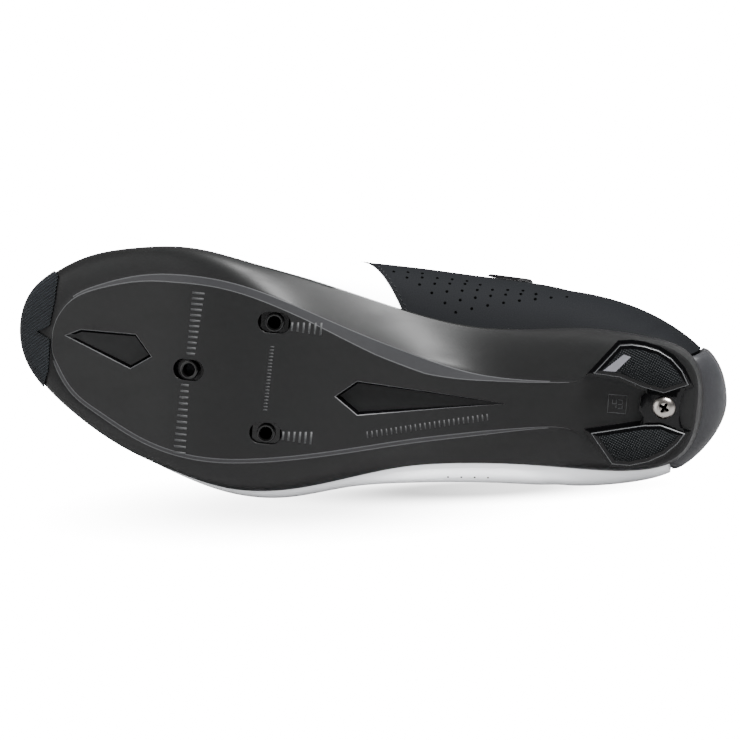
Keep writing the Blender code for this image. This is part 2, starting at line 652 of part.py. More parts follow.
def oblong(name, length, width, low, high, sides=12):
    """An oblong along x round the origin, from z low to z high."""
    radius = width / 2
    half = length / 2 - radius
    plan = []
    for k in range(sides + 1):
        angle = -math.pi / 2 + math.pi * k / sides
        plan.append((half + radius * math.cos(angle), radius * math.sin(angle)))
    for k in range(sides + 1):
        angle = math.pi / 2 + math.pi * k / sides
        plan.append((-half + radius * math.cos(angle), radius * math.sin(angle)))
    n = len(plan)
    verts = [(*p, low) for p in plan] + [(*p, high) for p in plan]
    faces = [tuple(range(n))[::-1], tuple(range(n, 2 * n))]
    faces += [(k, (k + 1) % n, n + (k + 1) % n, n + k) for k in range(n)]
    return solid(name, verts, faces)


def slot_frame(place):
    """A cleat slot's frame: its origin on the sole's bottom, x along the slope, z into the sole."""
    x, y = place
    rise = float(bottom_z(x + 0.004) - bottom_z(x - 0.004))
    ahead = Vector((0.008, 0.0, rise)).normalized()
    inward = ahead.cross(Vector((0, 1, 0)))
    turn = Matrix((ahead, (0, 1, 0), inward)).transposed().to_4x4()
    return Matrix.Translation(Vector((x, y, float(bottom_z(x))))) @ turn


def make_outsole(look):
    sole = make_sole("outsole", 0.0, look)
    cutters = []
    for name, place in NUT_PLACES.items():
        slot = oblong("slot", SLOT_LENGTH, SLOT_WIDTH, -0.004, SHELF_DEPTH + 0.001)
        pocket_size = (NUT_FLANGE[0] + 0.0060, NUT_FLANGE[1] + 2 * GAP, 0.0100)
        pocket = block("pocket", (0.0, 0.0, SHELF_DEPTH + 0.0050), pocket_size)
        for cutter in (slot, pocket):
            cutter.data.transform(slot_frame(place))
            cutters.append(cutter)
    cutters.append(vent_cutter("toe_vent", TOE_VENT, TOE_VENT_DEPTH, 3))
    cutters.append(vent_cutter("mid_vent", MID_VENT, MID_VENT_DEPTH, 0))
    hole = (SCREW_PLACE[0] * GRADE[0], SCREW_PLACE[1] * GRADE[1], 0.0)
    cutters.append(cone("screw_hole", hole, (0, 0, 1), 0.0027, 0.0027, 0.0, 0.0096, 16))
    return combine(sole, cutters, "DIFFERENCE")


def vent_cutter(name, plan, deep, deep_corner):
    """A wedge that is deep at one corner of its plan and runs out to the surface at the far end."""
    points = [np.array(p) * GRADE[:2] for p in plan]
    far = max(np.linalg.norm(p - points[deep_corner]) for p in points)
    n = len(points)
    verts = []
    for p in points:
        verts.append((p[0], p[1], float(bottom_z(p[0])) - 0.004))
    for p in points:
        share = np.linalg.norm(p - points[deep_corner]) / far
        depth = deep * (1.0 - share) + 0.0001
        verts.append((p[0], p[1], float(bottom_z(p[0])) + depth))
    faces = [tuple(range(n))[::-1], tuple(range(n, 2 * n))]
    faces += [(k, (k + 1) % n, n + (k + 1) % n, n + k) for k in range(n)]
    made = solid(name, verts, faces)
    work = bmesh.new()
    work.from_mesh(made.data)
    bmesh.ops.triangulate(work, faces=work.faces)
    work.to_mesh(made.data)
    work.free()
    return made


def make_insole(look):
    u = sole_columns()
    edge, _, _ = sole_loops(u)
    count = len(u)
    loops = []
    low_rim = inset(edge, u, 0.0048)
    low_rim[:, 2] += GAP + 0.0001
    low_dish = inset(edge, u, 0.0085)
    low_dish[:, 2] = edge[:, 2] - dish_drop(edge[:, 0]) + GAP + 0.0001
    high_rim = inset(edge, u, 0.0050)
    high_rim[:, 2] += GAP + INSOLE_THICKNESS
    high_dish = low_dish + UP * (INSOLE_THICKNESS - 0.0004)
    loops = [low_dish, low_rim, high_rim, high_dish]
    verts = [p for loop in loops for p in loop]
    faces = []
    for k in range(3):
        for j in range(count):
            n = (j + 1) % count
            faces.append((k * count + j, k * count + n, (k + 1) * count + n, (k + 1) * count + j))
    faces += cross_fill(verts, 0, SOLE_HALF_COUNT, dish_height)
    faces += cross_fill(verts, 3 * count, SOLE_HALF_COUNT, dish_height)
    return solid("insole", verts, faces, look)


def make_nut(name, place, look):
    """A T-nut: a flange over the shelf of its slot, a barrel to the sole's bottom, and a hole."""
    flange = block("flange", (0.0, 0.0, SHELF_DEPTH + GAP + 0.0008), (*NUT_FLANGE, 0.0016))
    barrel = NUT_BARREL / 2
    nut = cone(name, (0, 0, 0), (0, 0, 1), barrel, barrel, NUT_RECESS, SHELF_DEPTH + 0.0014, 28, look)
    combine(nut, [flange], "UNION")
    bore = cone("bore", (0, 0, 0), (0, 0, 1), NUT_BORE / 2, NUT_BORE / 2, -0.002, 0.012, 20)
    combine(nut, [bore], "DIFFERENCE")
    nut.data.transform(slot_frame(place))
    return nut


def wing(name, plan, top, face, bevel):
    """A raised pad: its outline at the seat, and its face a bevel smaller."""
    points = [np.array(p) * GRADE[:2] for p in plan]
    n = len(points)
    centre = sum(points) / n
    verts = [(p[0], p[1], top) for p in points]
    verts += [(p[0], p[1], face + bevel * 0.9) for p in points]
    inner = []
    for k, p in enumerate(points):
        before = points[k - 1] - p
        after = points[(k + 1) % n] - p
        bisector = before / np.linalg.norm(before) + after / np.linalg.norm(after)
        length = np.linalg.norm(bisector)
        turn = before[0] * after[1] - before[1] * after[0]
        if length < 0.15:
            bisector = np.array([-after[1], after[0]])
            length = np.linalg.norm(bisector)
            bisector = bisector if np.dot(bisector, centre - p) > 0 else -bisector
            turn = -abs(turn)
            inner.append(p + bisector / length * bevel)
            continue
        sine = max(0.5, math.sqrt(max(0.0, 1 - (length / 2) ** 2)))
        convex = np.dot(bisector, centre - p) > 0
        inner.append(p + bisector / length * bevel / sine * (1 if convex else -1))
    verts += [(p[0], p[1], face) for p in inner]
    faces = [tuple(range(n))[::-1], tuple(range(2 * n, 3 * n))]
    for ring in (0, n):
        faces += [(ring + k, ring + (k + 1) % n, ring + n + (k + 1) % n, ring + n + k) for k in range(n)]
    made = solid(name, verts, faces)
    tidy_mesh(made)
    return made


def make_heel_pad(look):
    seat = (HEEL_SEAT_Z - 0.35) * 0.001
    pad = prism("heel_pad", HEEL_WEB, lambda x: 0.0026, lambda x: seat)
    pad.data.materials.append(look)
    combine(pad, [wing("wing", HEEL_WING_MEDIAL, seat, 0.0, 0.0011),
                  wing("wing", HEEL_WING_LATERAL, seat, 0.0, 0.0011)], "UNION")
    hole = (SCREW_PLACE[0] * GRADE[0], SCREW_PLACE[1] * GRADE[1], 0.0)
    combine(pad, [cone("hole", hole, (0, 0, 1), 0.0027, 0.0027, -0.002, 0.02, 16)], "DIFFERENCE")
    return pad


def seat_cutter():
    """Flattens the heel seat above the pad's top face."""
    plan = ((11.0, 0.0), (15.5, 14.0), (24.0, 23.0), (36.0, 27.0), (48.0, 26.0), (57.5, 13.0), (56.0, 0.0),
            (57.0, -14.0), (47.0, -26.5), (36.0, -26.5), (24.0, -22.0), (15.0, -14.0))
    return prism("seat", plan, lambda x: -0.01, lambda x: HEEL_SEAT_Z * 0.001)


def make_screw(look):
    x, y = SCREW_PLACE[0] * GRADE[0], SCREW_PLACE[1] * GRADE[1]
    face = 0.0026
    under = face - GAP
    profile = ((0.0022, under - 0.0018), (0.0040, under - 0.0011), (0.00455, under), (0.0023, under),
               (0.0023, 0.0088))
    screw = lathe("heel_screw", (x, y, 0), (0, 0, 1), profile, 20, look)
    cross = [block("cross", (x, y, face - GAP - 0.0016), (0.0042, 0.0010, 0.0016)),
             block("cross", (x, y, face - GAP - 0.0016), (0.0010, 0.0042, 0.0016))]
    combine(screw, cross, "DIFFERENCE")
    return screw


def toe_plane(x):
    """Just under the sole's top edge near the toe."""
    return (25.4 + (x / GRADE[0] - 260.3) * 0.338 - 1.2) * GRADE[2]


def make_toe_pad(look):
    pad = make_sole("toe_pad", 0.0010, look)
    combine(pad, [prism("plan", TOE_PAD_PLAN, lambda x: 0.0, toe_plane)], "INTERSECT")
    combine(pad, [make_sole("inside", -0.0012)], "DIFFERENCE")
    return pad


def toe_cutter():
    grown = []
    for x, y in TOE_PAD_PLAN:
        grown.append((x - 0.35 if x < 290 else x, y))
    cut = make_sole("toe_step", 0.0030)
    combine(cut, [prism("plan", grown, lambda x: -0.001, lambda x: toe_plane(x) + 0.00035)], "INTERSECT")
    combine(cut, [make_sole("inside", -0.00155)], "DIFFERENCE")
    return cut


def upper_at(u, share, part="high"):
    """Point, outward normal, and direction along the upper's outer surface."""
    step = 0.004
    rows = [(part, max(share - 0.02, 0.0)), (part, share), (part, min(share + 0.02, 1.0))]
    grid = upper_surface(np.array([u - step, u, u + step]), rows)
    along = Vector(grid[2, 1] - grid[0, 1]).normalized()
    rise = Vector(grid[1, 2] - grid[1, 0]).normalized()
    normal = rise.cross(along).normalized()
    return Vector(grid[1, 1]), normal, along


def knot_parameter(side, x):
    """The parameter on the medial or lateral side where the sections' wide_x has the pattern value x."""
    table = UPPER_TABLE[:, 0]
    top = len(UPPER_MEDIAL) + 2
    if side == "medial":
        return float(np.interp(x, table[:top], KNOTS[:top]))
    order = list(range(len(table) - 1, top - 2, -1))
    return float(np.interp(x, table[order], KNOTS[order]))


def make_tongue(look):
    """A bowed sheet under the throat's edges, its free end over the instep."""
    stations = ((128.0, 0.95), (142.0, 0.88), (160.0, 0.84), (180.0, 0.84), (202.0, 0.84), (228.0, 0.84),
                (252.0, 0.84))
    drop = WALL + 0.0015
    sections = []
    for x, tuck in stations:
        sides = []
        for side in ("medial", "lateral"):
            u = knot_parameter(side, x)
            points = []
            for share in (tuck, (tuck + 1.0) / 2, 1.0):
                point, normal, _ = upper_at(u, share)
                points.append(point - normal * drop)
            sides.append(points)
        medial, lateral = sides
        crown = []
        for share in (0.25, 0.5, 0.75):
            point = medial[2].lerp(lateral[2], share)
            crown.append(point + Vector((0, 0, 1)) * 0.0022 * (1 - (2 * share - 1) ** 2))
        sections.append(medial + crown + lateral[::-1])
    first = sections[0]
    centre = sum(first, Vector()) / len(first)
    free = []
    for back, up, narrow in ((0.0230, 0.0245, 0.74), (0.0120, 0.0145, 0.70)):
        row = []
        for p in first:
            flatter = (p.z - first[4].z) * 0.50
            row.append(Vector((p.x - back, centre.y + (p.y - centre.y) * narrow, first[4].z + flatter + up)))
        free.append(row)
    last = sections[-1]
    hidden = []
    for p in last:
        hidden.append(Vector((p.x + 0.0100, p.y * 0.85, min(p.z, last[4].z - 0.0050))))
    sections.append(hidden)
    grid = np.array([[tuple(p) for p in row] for row in free + sections])
    along = np.gradient(grid, axis=0)
    across = np.gradient(grid, axis=1)
    normal = np.cross(along, across)
    normal /= np.linalg.norm(normal, axis=2)[:, :, None]
    if normal[:, :, 2].mean() < 0:
        normal = -normal
    thick = np.full(grid.shape[:2], TONGUE_THICKNESS)
    thick[:, [0, -1]] *= 0.45
    thick[[0, -1], :] *= 0.6
    lower = grid - normal * thick[:, :, None]
    return patch_solid("tongue", grid, lower, look)


def local_frame(normal, along):
    side = normal.cross(along).normalized()
    ahead = side.cross(normal).normalized()
    return Matrix((ahead, side, normal)).transposed()


def oblong_on(name, place, frame, length, width, low, high, look=None, taper=0.0006, sides=8):
    """An oblong plate on a local frame, its top a little smaller."""
    radius = width / 2
    half = length / 2 - radius
    rings = []
    for height, shrink in ((low, 0.0), (high - taper, 0.0), (high, taper)):
        ring = []
        for end, turn in ((half, -math.pi / 2), (-half, math.pi / 2)):
            for k in range(sides + 1):
                angle = turn + math.pi * k / sides
                reach = radius - shrink
                local = Vector((end + reach * math.cos(angle), reach * math.sin(angle), height))
                ring.append(place + frame @ local)
        rings.append(ring)
    n = len(rings[0])
    verts = rings[0] + rings[1] + rings[2]
    faces = [tuple(range(n))[::-1], tuple(range(2 * n, 3 * n))]
    for start in (0, n):
        faces += [(start + k, start + (k + 1) % n, start + n + (k + 1) % n, start + n + k) for k in range(n)]
    return solid(name, verts, faces, look)


def make_guide(name, side, x, share, look):
    """A lace guide: a low plate on the upper with a round post that the lace turns round."""
    u = knot_parameter(side, x)
    place, normal, along = upper_at(u, share)
    frame = local_frame(normal, along)
    guide = oblong_on(name, place, frame, 0.0150, 0.0090, -0.004, 0.0012, look)
    combine(guide, [fat_upper()], "DIFFERENCE")
    post = cone("post", place, normal, 0.0022, 0.0022, 0.0008, 0.0036, 16)
    combine(guide, [post], "UNION")
    return guide, (place, normal)


def tube(name, path, radius, look, sides=6):
    """A round bar along a path of points, with flat ends."""
    path = [Vector(p) for p in path]
    rings = []
    side = None
    for k, p in enumerate(path):
        ahead = path[min(k + 1, len(path) - 1)] - path[max(k - 1, 0)]
        ahead.normalize()
        if side is None:
            side = ahead.orthogonal().normalized()
        side = (side - ahead * side.dot(ahead)).normalized()
        other = ahead.cross(side)
        rings.append([p + (side * math.cos(a) + other * math.sin(a)) * radius
                      for a in (2 * math.pi * i / sides for i in range(sides))])
    verts = [v for ring in rings for v in ring]
    faces = [tuple(range(sides))[::-1], tuple(range(len(verts) - sides, len(verts)))]
    for k in range(len(path) - 1):
        for i in range(sides):
            n = (i + 1) % sides
            faces.append((k * sides + i, k * sides + n, (k + 1) * sides + n, (k + 1) * sides + i))
    return solid(name, verts, faces, look)


def make_dial(looks):
    """Lace dial on the lateral quarter: a base that follows the upper, and the knob over it."""
    u = knot_parameter("lateral", DIAL_X)
    place, normal, _ = upper_at(u, DIAL_SHARE)
    normal = (normal + Vector((0.0, -DIAL_OUTWARD, 0.0))).normalized()
    base = cone("dial_base", place, normal, 0.0135, 0.0130, -0.007, 0.0024, 32, looks["dial"])
    combine(base, [fat_upper()], "DIFFERENCE")
    knob = ((0.0118, 0.0028), (0.0122, 0.0034), (0.0118, 0.0076), (0.0104, 0.0088))
    lathe("dial_knob", place, normal, knob, 32, looks["dial"])
    return place, normal


def make_anchor(look):
    """The smooth low guide on the medial quarter."""
    u = knot_parameter("medial", 91.0)
    place, normal, along = upper_at(u, 0.10)
    frame = local_frame(normal, along)
    anchor = oblong_on("medial_anchor", place, frame, 0.0215, 0.0125, -0.005, 0.0013, look, 0.0022)
    return combine(anchor, [fat_upper()], "DIFFERENCE")


def over(point, lift):
    return Vector(point) + Vector((0, 0, lift))


def make_lace(dial, guides, look):
    """One thin steel lace from the dial, round a post at each guide, to its end at the last one."""
    place, normal = dial
    height = 0.0023
    around = 0.0034
    order = ["guide_medial_top", "guide_lateral_mid", "guide_medial_front", "guide_lateral_front"]
    toward = guides[order[0]][0] - place
    toward = (toward - normal * toward.dot(normal)).normalized()
    path = [place + toward * 0.0148 + normal * 0.0020]
    leave = path[0] + toward * 0.0040 - normal * 0.0002
    for k, name in enumerate(order):
        centre, up = guides[name]
        before = leave - centre
        before = (before - up * before.dot(up)).normalized()
        into = before
        if k == len(order) - 1:
            arc = [centre + up * height + before * 0.0042]
        else:
            after = guides[order[k + 1]][0] - centre
            after = (after - up * after.dot(up)).normalized()
            into = (before + after).normalized()
            side = up.cross(into)
            hand = 1.0 if before.dot(side) > after.dot(side) else -1.0
            first = math.atan2(before.dot(side), before.dot(into)) + hand * math.pi / 2
            last = math.atan2(after.dot(side), after.dot(into)) + hand * 3 * math.pi / 2
            arc = []
            for step in range(6):
                angle = first + (last - first) * step / 5
                arc.append(centre + up * height + (into * math.cos(angle) + side * math.sin(angle)) * around)
        arrive = arc[0] + before * LACE_REACH + up * 0.0004
        path.append(leave)
        path.append(over(leave.lerp(arrive, 0.5), LACE_BOW))
        path.append(arrive)
        path += arc
        if k < len(order) - 1:
            leave = arc[-1] + after * LACE_REACH + up * 0.0004
    return tube("lace", path, 0.0006, look)


def volume_and_centre(mesh):
    """Signed volume and centroid from a closed mesh's triangles."""
    mesh.calc_loop_triangles()
    points = np.array([v.co for v in mesh.vertices])
    corners = points[np.array([t.vertices for t in mesh.loop_triangles])]
    volumes = np.einsum("ij,ij->i", corners[:, 0], np.cross(corners[:, 1], corners[:, 2])) / 6.0
    return volumes.sum(), (volumes[:, None] * corners.sum(axis=1) / 4.0).sum(axis=0) / volumes.sum()


def support_facet(objects):
    """Outward normal, in the shoe frame, of the lateral hull facet under the centre of mass."""
    points = []
    moment = np.zeros(3)
    mass = 0.0
    for thing in objects:
        points += [tuple(v.co) for v in thing.data.vertices]
        volume, centre = volume_and_centre(thing.data)
        density = DENSITIES.get(thing.name.split("_")[0], 1100.0)
        mass += volume * density
        moment += volume * density * centre
    centre = Vector(moment / mass)
    work = bmesh.new()
    for p in points:
        work.verts.new(p)
    bmesh.ops.convex_hull(work, input=work.verts)
    work.normal_update()
    middle = sum((v.co for v in work.verts), Vector()) / len(work.verts)
    found = None
    widest = 0.0
    for face in work.faces:
        normal = face.normal.copy()
        corners = [v.co.copy() for v in face.verts]
        if normal.dot(corners[0] - middle) < 0:
            normal.negate()
            corners.reverse()
        if normal.dot(Vector((0, -1, 0))) < 1.0 - SUPPORT_LEAN_LIMIT:
            continue
        inside = True
        for k, a in enumerate(corners):
            b = corners[(k + 1) % len(corners)]
            if (b - a).cross(centre - a).dot(normal) < 0:
                inside = False
        if inside and face.calc_area() > widest:
            found = normal
            widest = face.calc_area()
    work.free()
    return found


def place_in_world():
    """Lays the shoe on its lateral side, its bounding box centred over the origin and on the floor."""
    objects = [o for o in bpy.data.objects if o.type == "MESH"]
    normal = support_facet(objects)
    to_world = Matrix(((-1, 0, 0), (0, 0, 1), (0, 1, 0)))
    down = (to_world @ normal).normalized()
    level = down.rotation_difference(Vector((0, 0, -1))).to_matrix()
    turn = (level @ to_world).to_4x4()
    low = Vector((9, 9, 9))
    high = -low
    for thing in objects:
        for v in thing.data.vertices:
            p = turn @ v.co
            for k in range(3):
                low[k] = min(low[k], p[k])
                high[k] = max(high[k], p[k])
    shift = Matrix.Translation(Vector((-(low.x + high.x) / 2, -(low.y + high.y) / 2, -low.z)))
    whole = shift @ turn
    for thing in objects:
        thing.data.transform(whole)
        if thing.name in NUT_PLACES:
            frame = whole @ slot_frame(NUT_PLACES[thing.name])
            pivot = frame.translation.copy()
            thing.data.transform(Matrix.Translation(-pivot))
            thing.location = pivot
        thing.data.update()
    bpy.context.view_layer.update()
    print("size in mm", [round((high[k] - low[k]) * 1000, 1) for k in range(3)])


def main():
    clear_scene()
    looks = {
        "outsole": material("outsole_plate", (0.045, 0.047, 0.05), 0.55),
        "upper": material("upper_skin", (0.78, 0.79, 0.80), 0.6),
        "tongue": material("tongue_cloth", (0.70, 0.71, 0.72), 0.8),
        "insole": material("insole_foam", (0.10, 0.10, 0.11), 0.9),
        "counter": material("counter_shell", (0.08, 0.085, 0.09), 0.4),
        "toe": material("toe_rubber", (0.05, 0.06, 0.07), 0.8),
        "heel": material("heel_rubber", (0.02, 0.02, 0.022), 0.35),
        "steel": material("screw_steel", (0.60, 0.60, 0.60), 0.25, 1.0),
        "nut": material("nut_steel", (0.33, 0.33, 0.34), 0.35, 1.0),
        "dial": material("dial_plastic", (0.03, 0.03, 0.032), 0.4),
        "guide": material("guide_plastic", (0.10, 0.10, 0.11), 0.45),
        "lace": material("lace_steel", (0.40, 0.40, 0.42), 0.4, 1.0),
    }
    upper = make_upper(looks["upper"])
    outsole = make_outsole(looks["outsole"])
    combine(outsole, [seat_cutter(), toe_cutter()], "DIFFERENCE")
    toe_pad = make_toe_pad(looks["toe"])
    heel_pad = make_heel_pad(looks["heel"])
    make_screw(looks["steel"])
    make_insole(looks["insole"])
    make_counter(looks["counter"])
    make_tongue(looks["tongue"])
    for name, place in NUT_PLACES.items():
        make_nut(name, place, looks["nut"])
    guides = {}
    for name, (side, x, share) in GUIDES.items():
        guides[name] = make_guide(name, side, x, share, looks["guide"])[1]
    dial = make_dial(looks)
    make_anchor(looks["guide"])
    make_lace(dial, guides, looks["lace"])
    place_in_world()


main()
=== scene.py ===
# %% [markdown]
# # A right road cycling shoe, lying on its lateral side
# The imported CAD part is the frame. This script gives it its looks: a fine sole plate with vents,
# cleat slots and tick marks, a stitched two-tone upper with perforations, rubber pads, a lace dial,
# and a white studio with the light from the upper right.
#
# Everything is modelled in the shoe's own frame, X from the heel to the toe, Y to the medial side and
# Z up from the ground plane, in millimetres. One matrix then lays it down on its side.

import json
import math

import bmesh
import bpy
import numpy as np
from mathutils import Matrix, Vector
from mathutils.bvhtree import BVHTree


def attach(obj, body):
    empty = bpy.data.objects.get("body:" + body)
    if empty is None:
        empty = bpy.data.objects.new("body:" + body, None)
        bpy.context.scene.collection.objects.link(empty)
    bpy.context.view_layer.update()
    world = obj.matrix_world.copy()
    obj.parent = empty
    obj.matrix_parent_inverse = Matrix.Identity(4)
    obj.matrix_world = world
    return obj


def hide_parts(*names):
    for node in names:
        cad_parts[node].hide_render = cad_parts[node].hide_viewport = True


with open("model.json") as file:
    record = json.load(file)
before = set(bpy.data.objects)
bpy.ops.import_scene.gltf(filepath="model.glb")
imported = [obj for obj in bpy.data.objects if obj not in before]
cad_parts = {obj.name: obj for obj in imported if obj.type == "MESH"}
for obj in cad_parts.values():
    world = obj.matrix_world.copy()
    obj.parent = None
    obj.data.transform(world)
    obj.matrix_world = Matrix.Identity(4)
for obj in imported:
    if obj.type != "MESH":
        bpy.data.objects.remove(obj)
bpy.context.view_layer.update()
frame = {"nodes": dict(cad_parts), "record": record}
record = frame["record"]

# %% [markdown]
# ## The sections
# A row per station of the last, from heel to toe, in millimetres. They are the same sections as the CAD
# source has, so that the fine surfaces lie on the solids.

# %%
SOLE_HEEL = (9.9, -0.5, 15.0, 12.6, 0.0, 0.3)
SOLE_MEDIAL = (
    (17.2, 21.0, 15.5, 17.6, 18.6, 0.3),
    (34.3, 26.0, 16.0, 36.0, 24.0, 0.7),
    (57.2, 27.1, 17.5, 55.0, 10.5, 0.8),
    (80.1, 24.6, 20.0, 68.0, 5.8, 0.5),
    (103.0, 23.4, 22.8, 96.0, 5.3, 0.2),
    (125.8, 26.4, 23.6, 122.5, 10.7, -0.1),
    (148.7, 31.9, 21.5, 147.0, 18.2, -0.1),
    (171.6, 37.7, 15.5, 171.0, 26.6, 0.0),
    (194.5, 42.5, 10.5, 194.0, 33.2, 0.5),
    (217.4, 45.9, 12.5, 215.0, 35.3, 0.8),
    (240.2, 43.6, 18.8, 236.0, 33.4, 0.8),
    (260.3, 38.0, 26.0, 254.0, 27.6, 0.8),
    (274.6, 29.4, 30.6, 266.0, 20.6, 0.8),
    (282.3, 21.6, 33.0, 271.0, 13.4, 0.8),
)
SOLE_TOE = (286.3, 8.0, 34.5, 273.0, 4.0, 0.8)
SOLE_LATERAL = (
    (17.2, -20.8, 14.5, 17.6, -18.4, 0.3),
    (34.3, -27.4, 14.0, 35.5, -25.0, 0.7),
    (57.2, -28.8, 14.2, 54.5, -15.8, 0.8),
    (80.1, -29.2, 15.0, 69.0, -13.0, 0.5),
    (103.0, -30.9, 16.2, 96.0, -18.5, 0.1),
    (125.8, -34.4, 16.6, 122.5, -23.8, 0.1),
    (148.7, -41.0, 15.0, 147.0, -29.3, 0.3),
    (171.6, -47.1, 11.5, 171.0, -34.2, 0.6),
    (194.5, -48.5, 9.8, 194.0, -37.4, 0.8),
    (217.4, -43.8, 12.2, 214.0, -37.2, 0.8),
    (240.2, -36.5, 18.4, 234.0, -32.4, 0.8),
    (260.3, -26.2, 25.4, 252.0, -24.0, 0.8),
    (274.6, -15.8, 30.2, 264.0, -16.2, 0.8),
    (282.3, -6.8, 32.6, 270.5, -7.2, 0.8),
)
UPPER_HEEL = (0.0, -0.8, 34.0, 6.5, 0.0, 85.0, 96.0, 0.45)
UPPER_MEDIAL = (
    (12.6, 22.0, 36.0, 14.5, 16.5, 81.0, 92.0, 0.45),
    (32.5, 33.2, 38.0, 33.0, 26.5, 73.5, 88.0, 0.45),
    (56.5, 39.0, 40.0, 56.5, 31.0, 68.5, 84.0, 0.45),
    (80.0, 41.4, 41.0, 79.0, 30.5, 74.0, 78.0, 0.50),
    (103.0, 42.3, 42.0, 98.5, 24.5, 94.0, 66.0, 0.50),
    (125.8, 43.4, 41.0, 116.0, 19.6, 97.0, 52.0, 0.55),
    (148.7, 44.2, 38.0, 134.0, 17.6, 89.0, 46.0, 0.55),
    (171.6, 44.0, 33.0, 151.0, 15.8, 81.0, 40.0, 0.60),
    (194.5, 43.4, 29.0, 166.5, 14.0, 74.0, 34.0, 0.65),
    (217.4, 44.2, 30.0, 179.5, 12.0, 68.8, 24.0, 0.75),
    (240.2, 42.0, 34.0, 190.0, 9.4, 65.6, 14.0, 0.85),
    (260.3, 36.4, 38.5, 196.5, 6.4, 64.0, 6.0, 0.92),
    (274.6, 27.6, 41.5, 199.5, 4.0, 63.2, 3.0, 0.95),
    (281.5, 20.0, 43.0, 200.5, 2.2, 62.9, 2.0, 0.95),
)
UPPER_TOE = (285.2, 7.8, 44.0, 200.8, 0.4, 62.8, 2.0, 0.95)
UPPER_LATERAL = (
    (14.2, -24.2, 27.0, 15.0, -16.0, 80.0, 92.0, 0.45),
    (33.0, -32.9, 25.5, 33.5, -25.0, 71.0, 88.0, 0.45),
    (57.0, -36.8, 24.5, 57.0, -29.0, 65.0, 84.0, 0.45),
    (80.1, -38.0, 24.0, 79.5, -28.5, 70.0, 78.0, 0.50),
    (103.0, -39.4, 24.0, 99.5, -22.5, 92.0, 66.0, 0.50),
    (125.8, -41.7, 23.0, 117.0, -17.6, 95.0, 52.0, 0.55),
    (148.7, -45.4, 22.0, 135.0, -15.6, 87.0, 46.0, 0.55),
    (171.6, -51.2, 20.0, 152.0, -13.8, 79.2, 40.0, 0.60),
    (194.5, -51.6, 21.0, 167.5, -12.2, 72.4, 34.0, 0.65),
    (217.4, -46.0, 25.5, 180.0, -10.4, 67.6, 24.0, 0.75),
    (240.2, -37.6, 32.5, 190.5, -8.2, 65.0, 14.0, 0.85),
    (260.3, -27.2, 38.0, 197.0, -5.6, 63.8, 6.0, 0.92),
    (273.6, -16.2, 41.5, 199.8, -3.2, 63.0, 3.0, 0.95),
    (281.0, -6.6, 43.2, 200.6, -1.4, 62.8, 2.0, 0.95),
)
BOTTOM_LINE = np.array(((8.0, 5.6), (30.0, 5.0), (52.0, 5.6), (72.0, 8.6), (93.0, 10.8), (113.0, 9.4),
                        (133.0, 6.0), (150.0, 3.0), (166.0, 0.7), (181.0, 0.0)))
SPRING_START, SPRING_RADIUS, SPRING_ANGLE = 181.0, 125.0, math.radians(20.5)
# Bevelled band between the platform's edge and its flat: x, width
BAND_MEDIAL = ((50.0, 0.8), (66.0, 1.0), (92.0, 2.6), (118.0, 5.8), (140.0, 5.8), (168.0, 4.2), (205.0, 3.6),
               (224.0, 3.6), (243.0, 2.4), (272.0, 0.8))
BAND_LATERAL = ((60.0, 0.8), (95.0, 2.0))
BAND_SLOPE = 0.27
GAP = 0.3
RIM_INSET = 1.2
COUNTER_TOP = 0.58
COUNTER_MEDIAL, COUNTER_LATERAL = 0.034, 0.042


def loop_table(heel, medial, toe, lateral):
    return np.array([heel, *medial, toe, *reversed(lateral)], float)


SOLE_TABLE = loop_table(SOLE_HEEL, SOLE_MEDIAL, SOLE_TOE, SOLE_LATERAL)
UPPER_TABLE = loop_table(UPPER_HEEL, UPPER_MEDIAL, UPPER_TOE, UPPER_LATERAL)
CHORDS = np.linalg.norm(np.roll(SOLE_TABLE[:, :2], -1, 0) - SOLE_TABLE[:, :2], axis=1)
KNOTS = np.concatenate([[0.0], np.cumsum(CHORDS)[:-1]]) / CHORDS.sum()
TOE_PARAMETER = KNOTS[len(SOLE_MEDIAL) + 1]


def periodic_spline(values, at):
    """Periodic cubic spline through values at KNOTS."""
    n = len(KNOTS)
    step = np.diff(np.append(KNOTS, KNOTS[0] + 1.0))
    matrix = np.zeros((n, n))
    right = np.zeros((n, values.shape[1]))
    slope = (np.roll(values, -1, 0) - values) / step[:, None]
    for k in range(n):
        matrix[k, k - 1] += step[k - 1]
        matrix[k, k] += 2.0 * (step[k - 1] + step[k])
        matrix[k, (k + 1) % n] += step[k]
        right[k] = 6.0 * (slope[k] - slope[k - 1])
    bend = np.linalg.solve(matrix, right)
    at = np.mod(np.asarray(at, float), 1.0)
    k = np.searchsorted(KNOTS, at, side="right") - 1
    d = (at - KNOTS[k])[:, None]
    h = step[k][:, None]
    m0, m1 = bend[k], bend[(k + 1) % n]
    ahead = slope[k] - h * (2.0 * m0 + m1) / 6.0
    return values[k] + d * ahead + d ** 2 * m0 / 2.0 + d ** 3 * (m1 - m0) / (6.0 * h)


def smooth(start, end, x):
    t = np.clip((np.asarray(x, float) - start) / (end - start), 0.0, 1.0)
    return t * t * (3.0 - 2.0 * t)


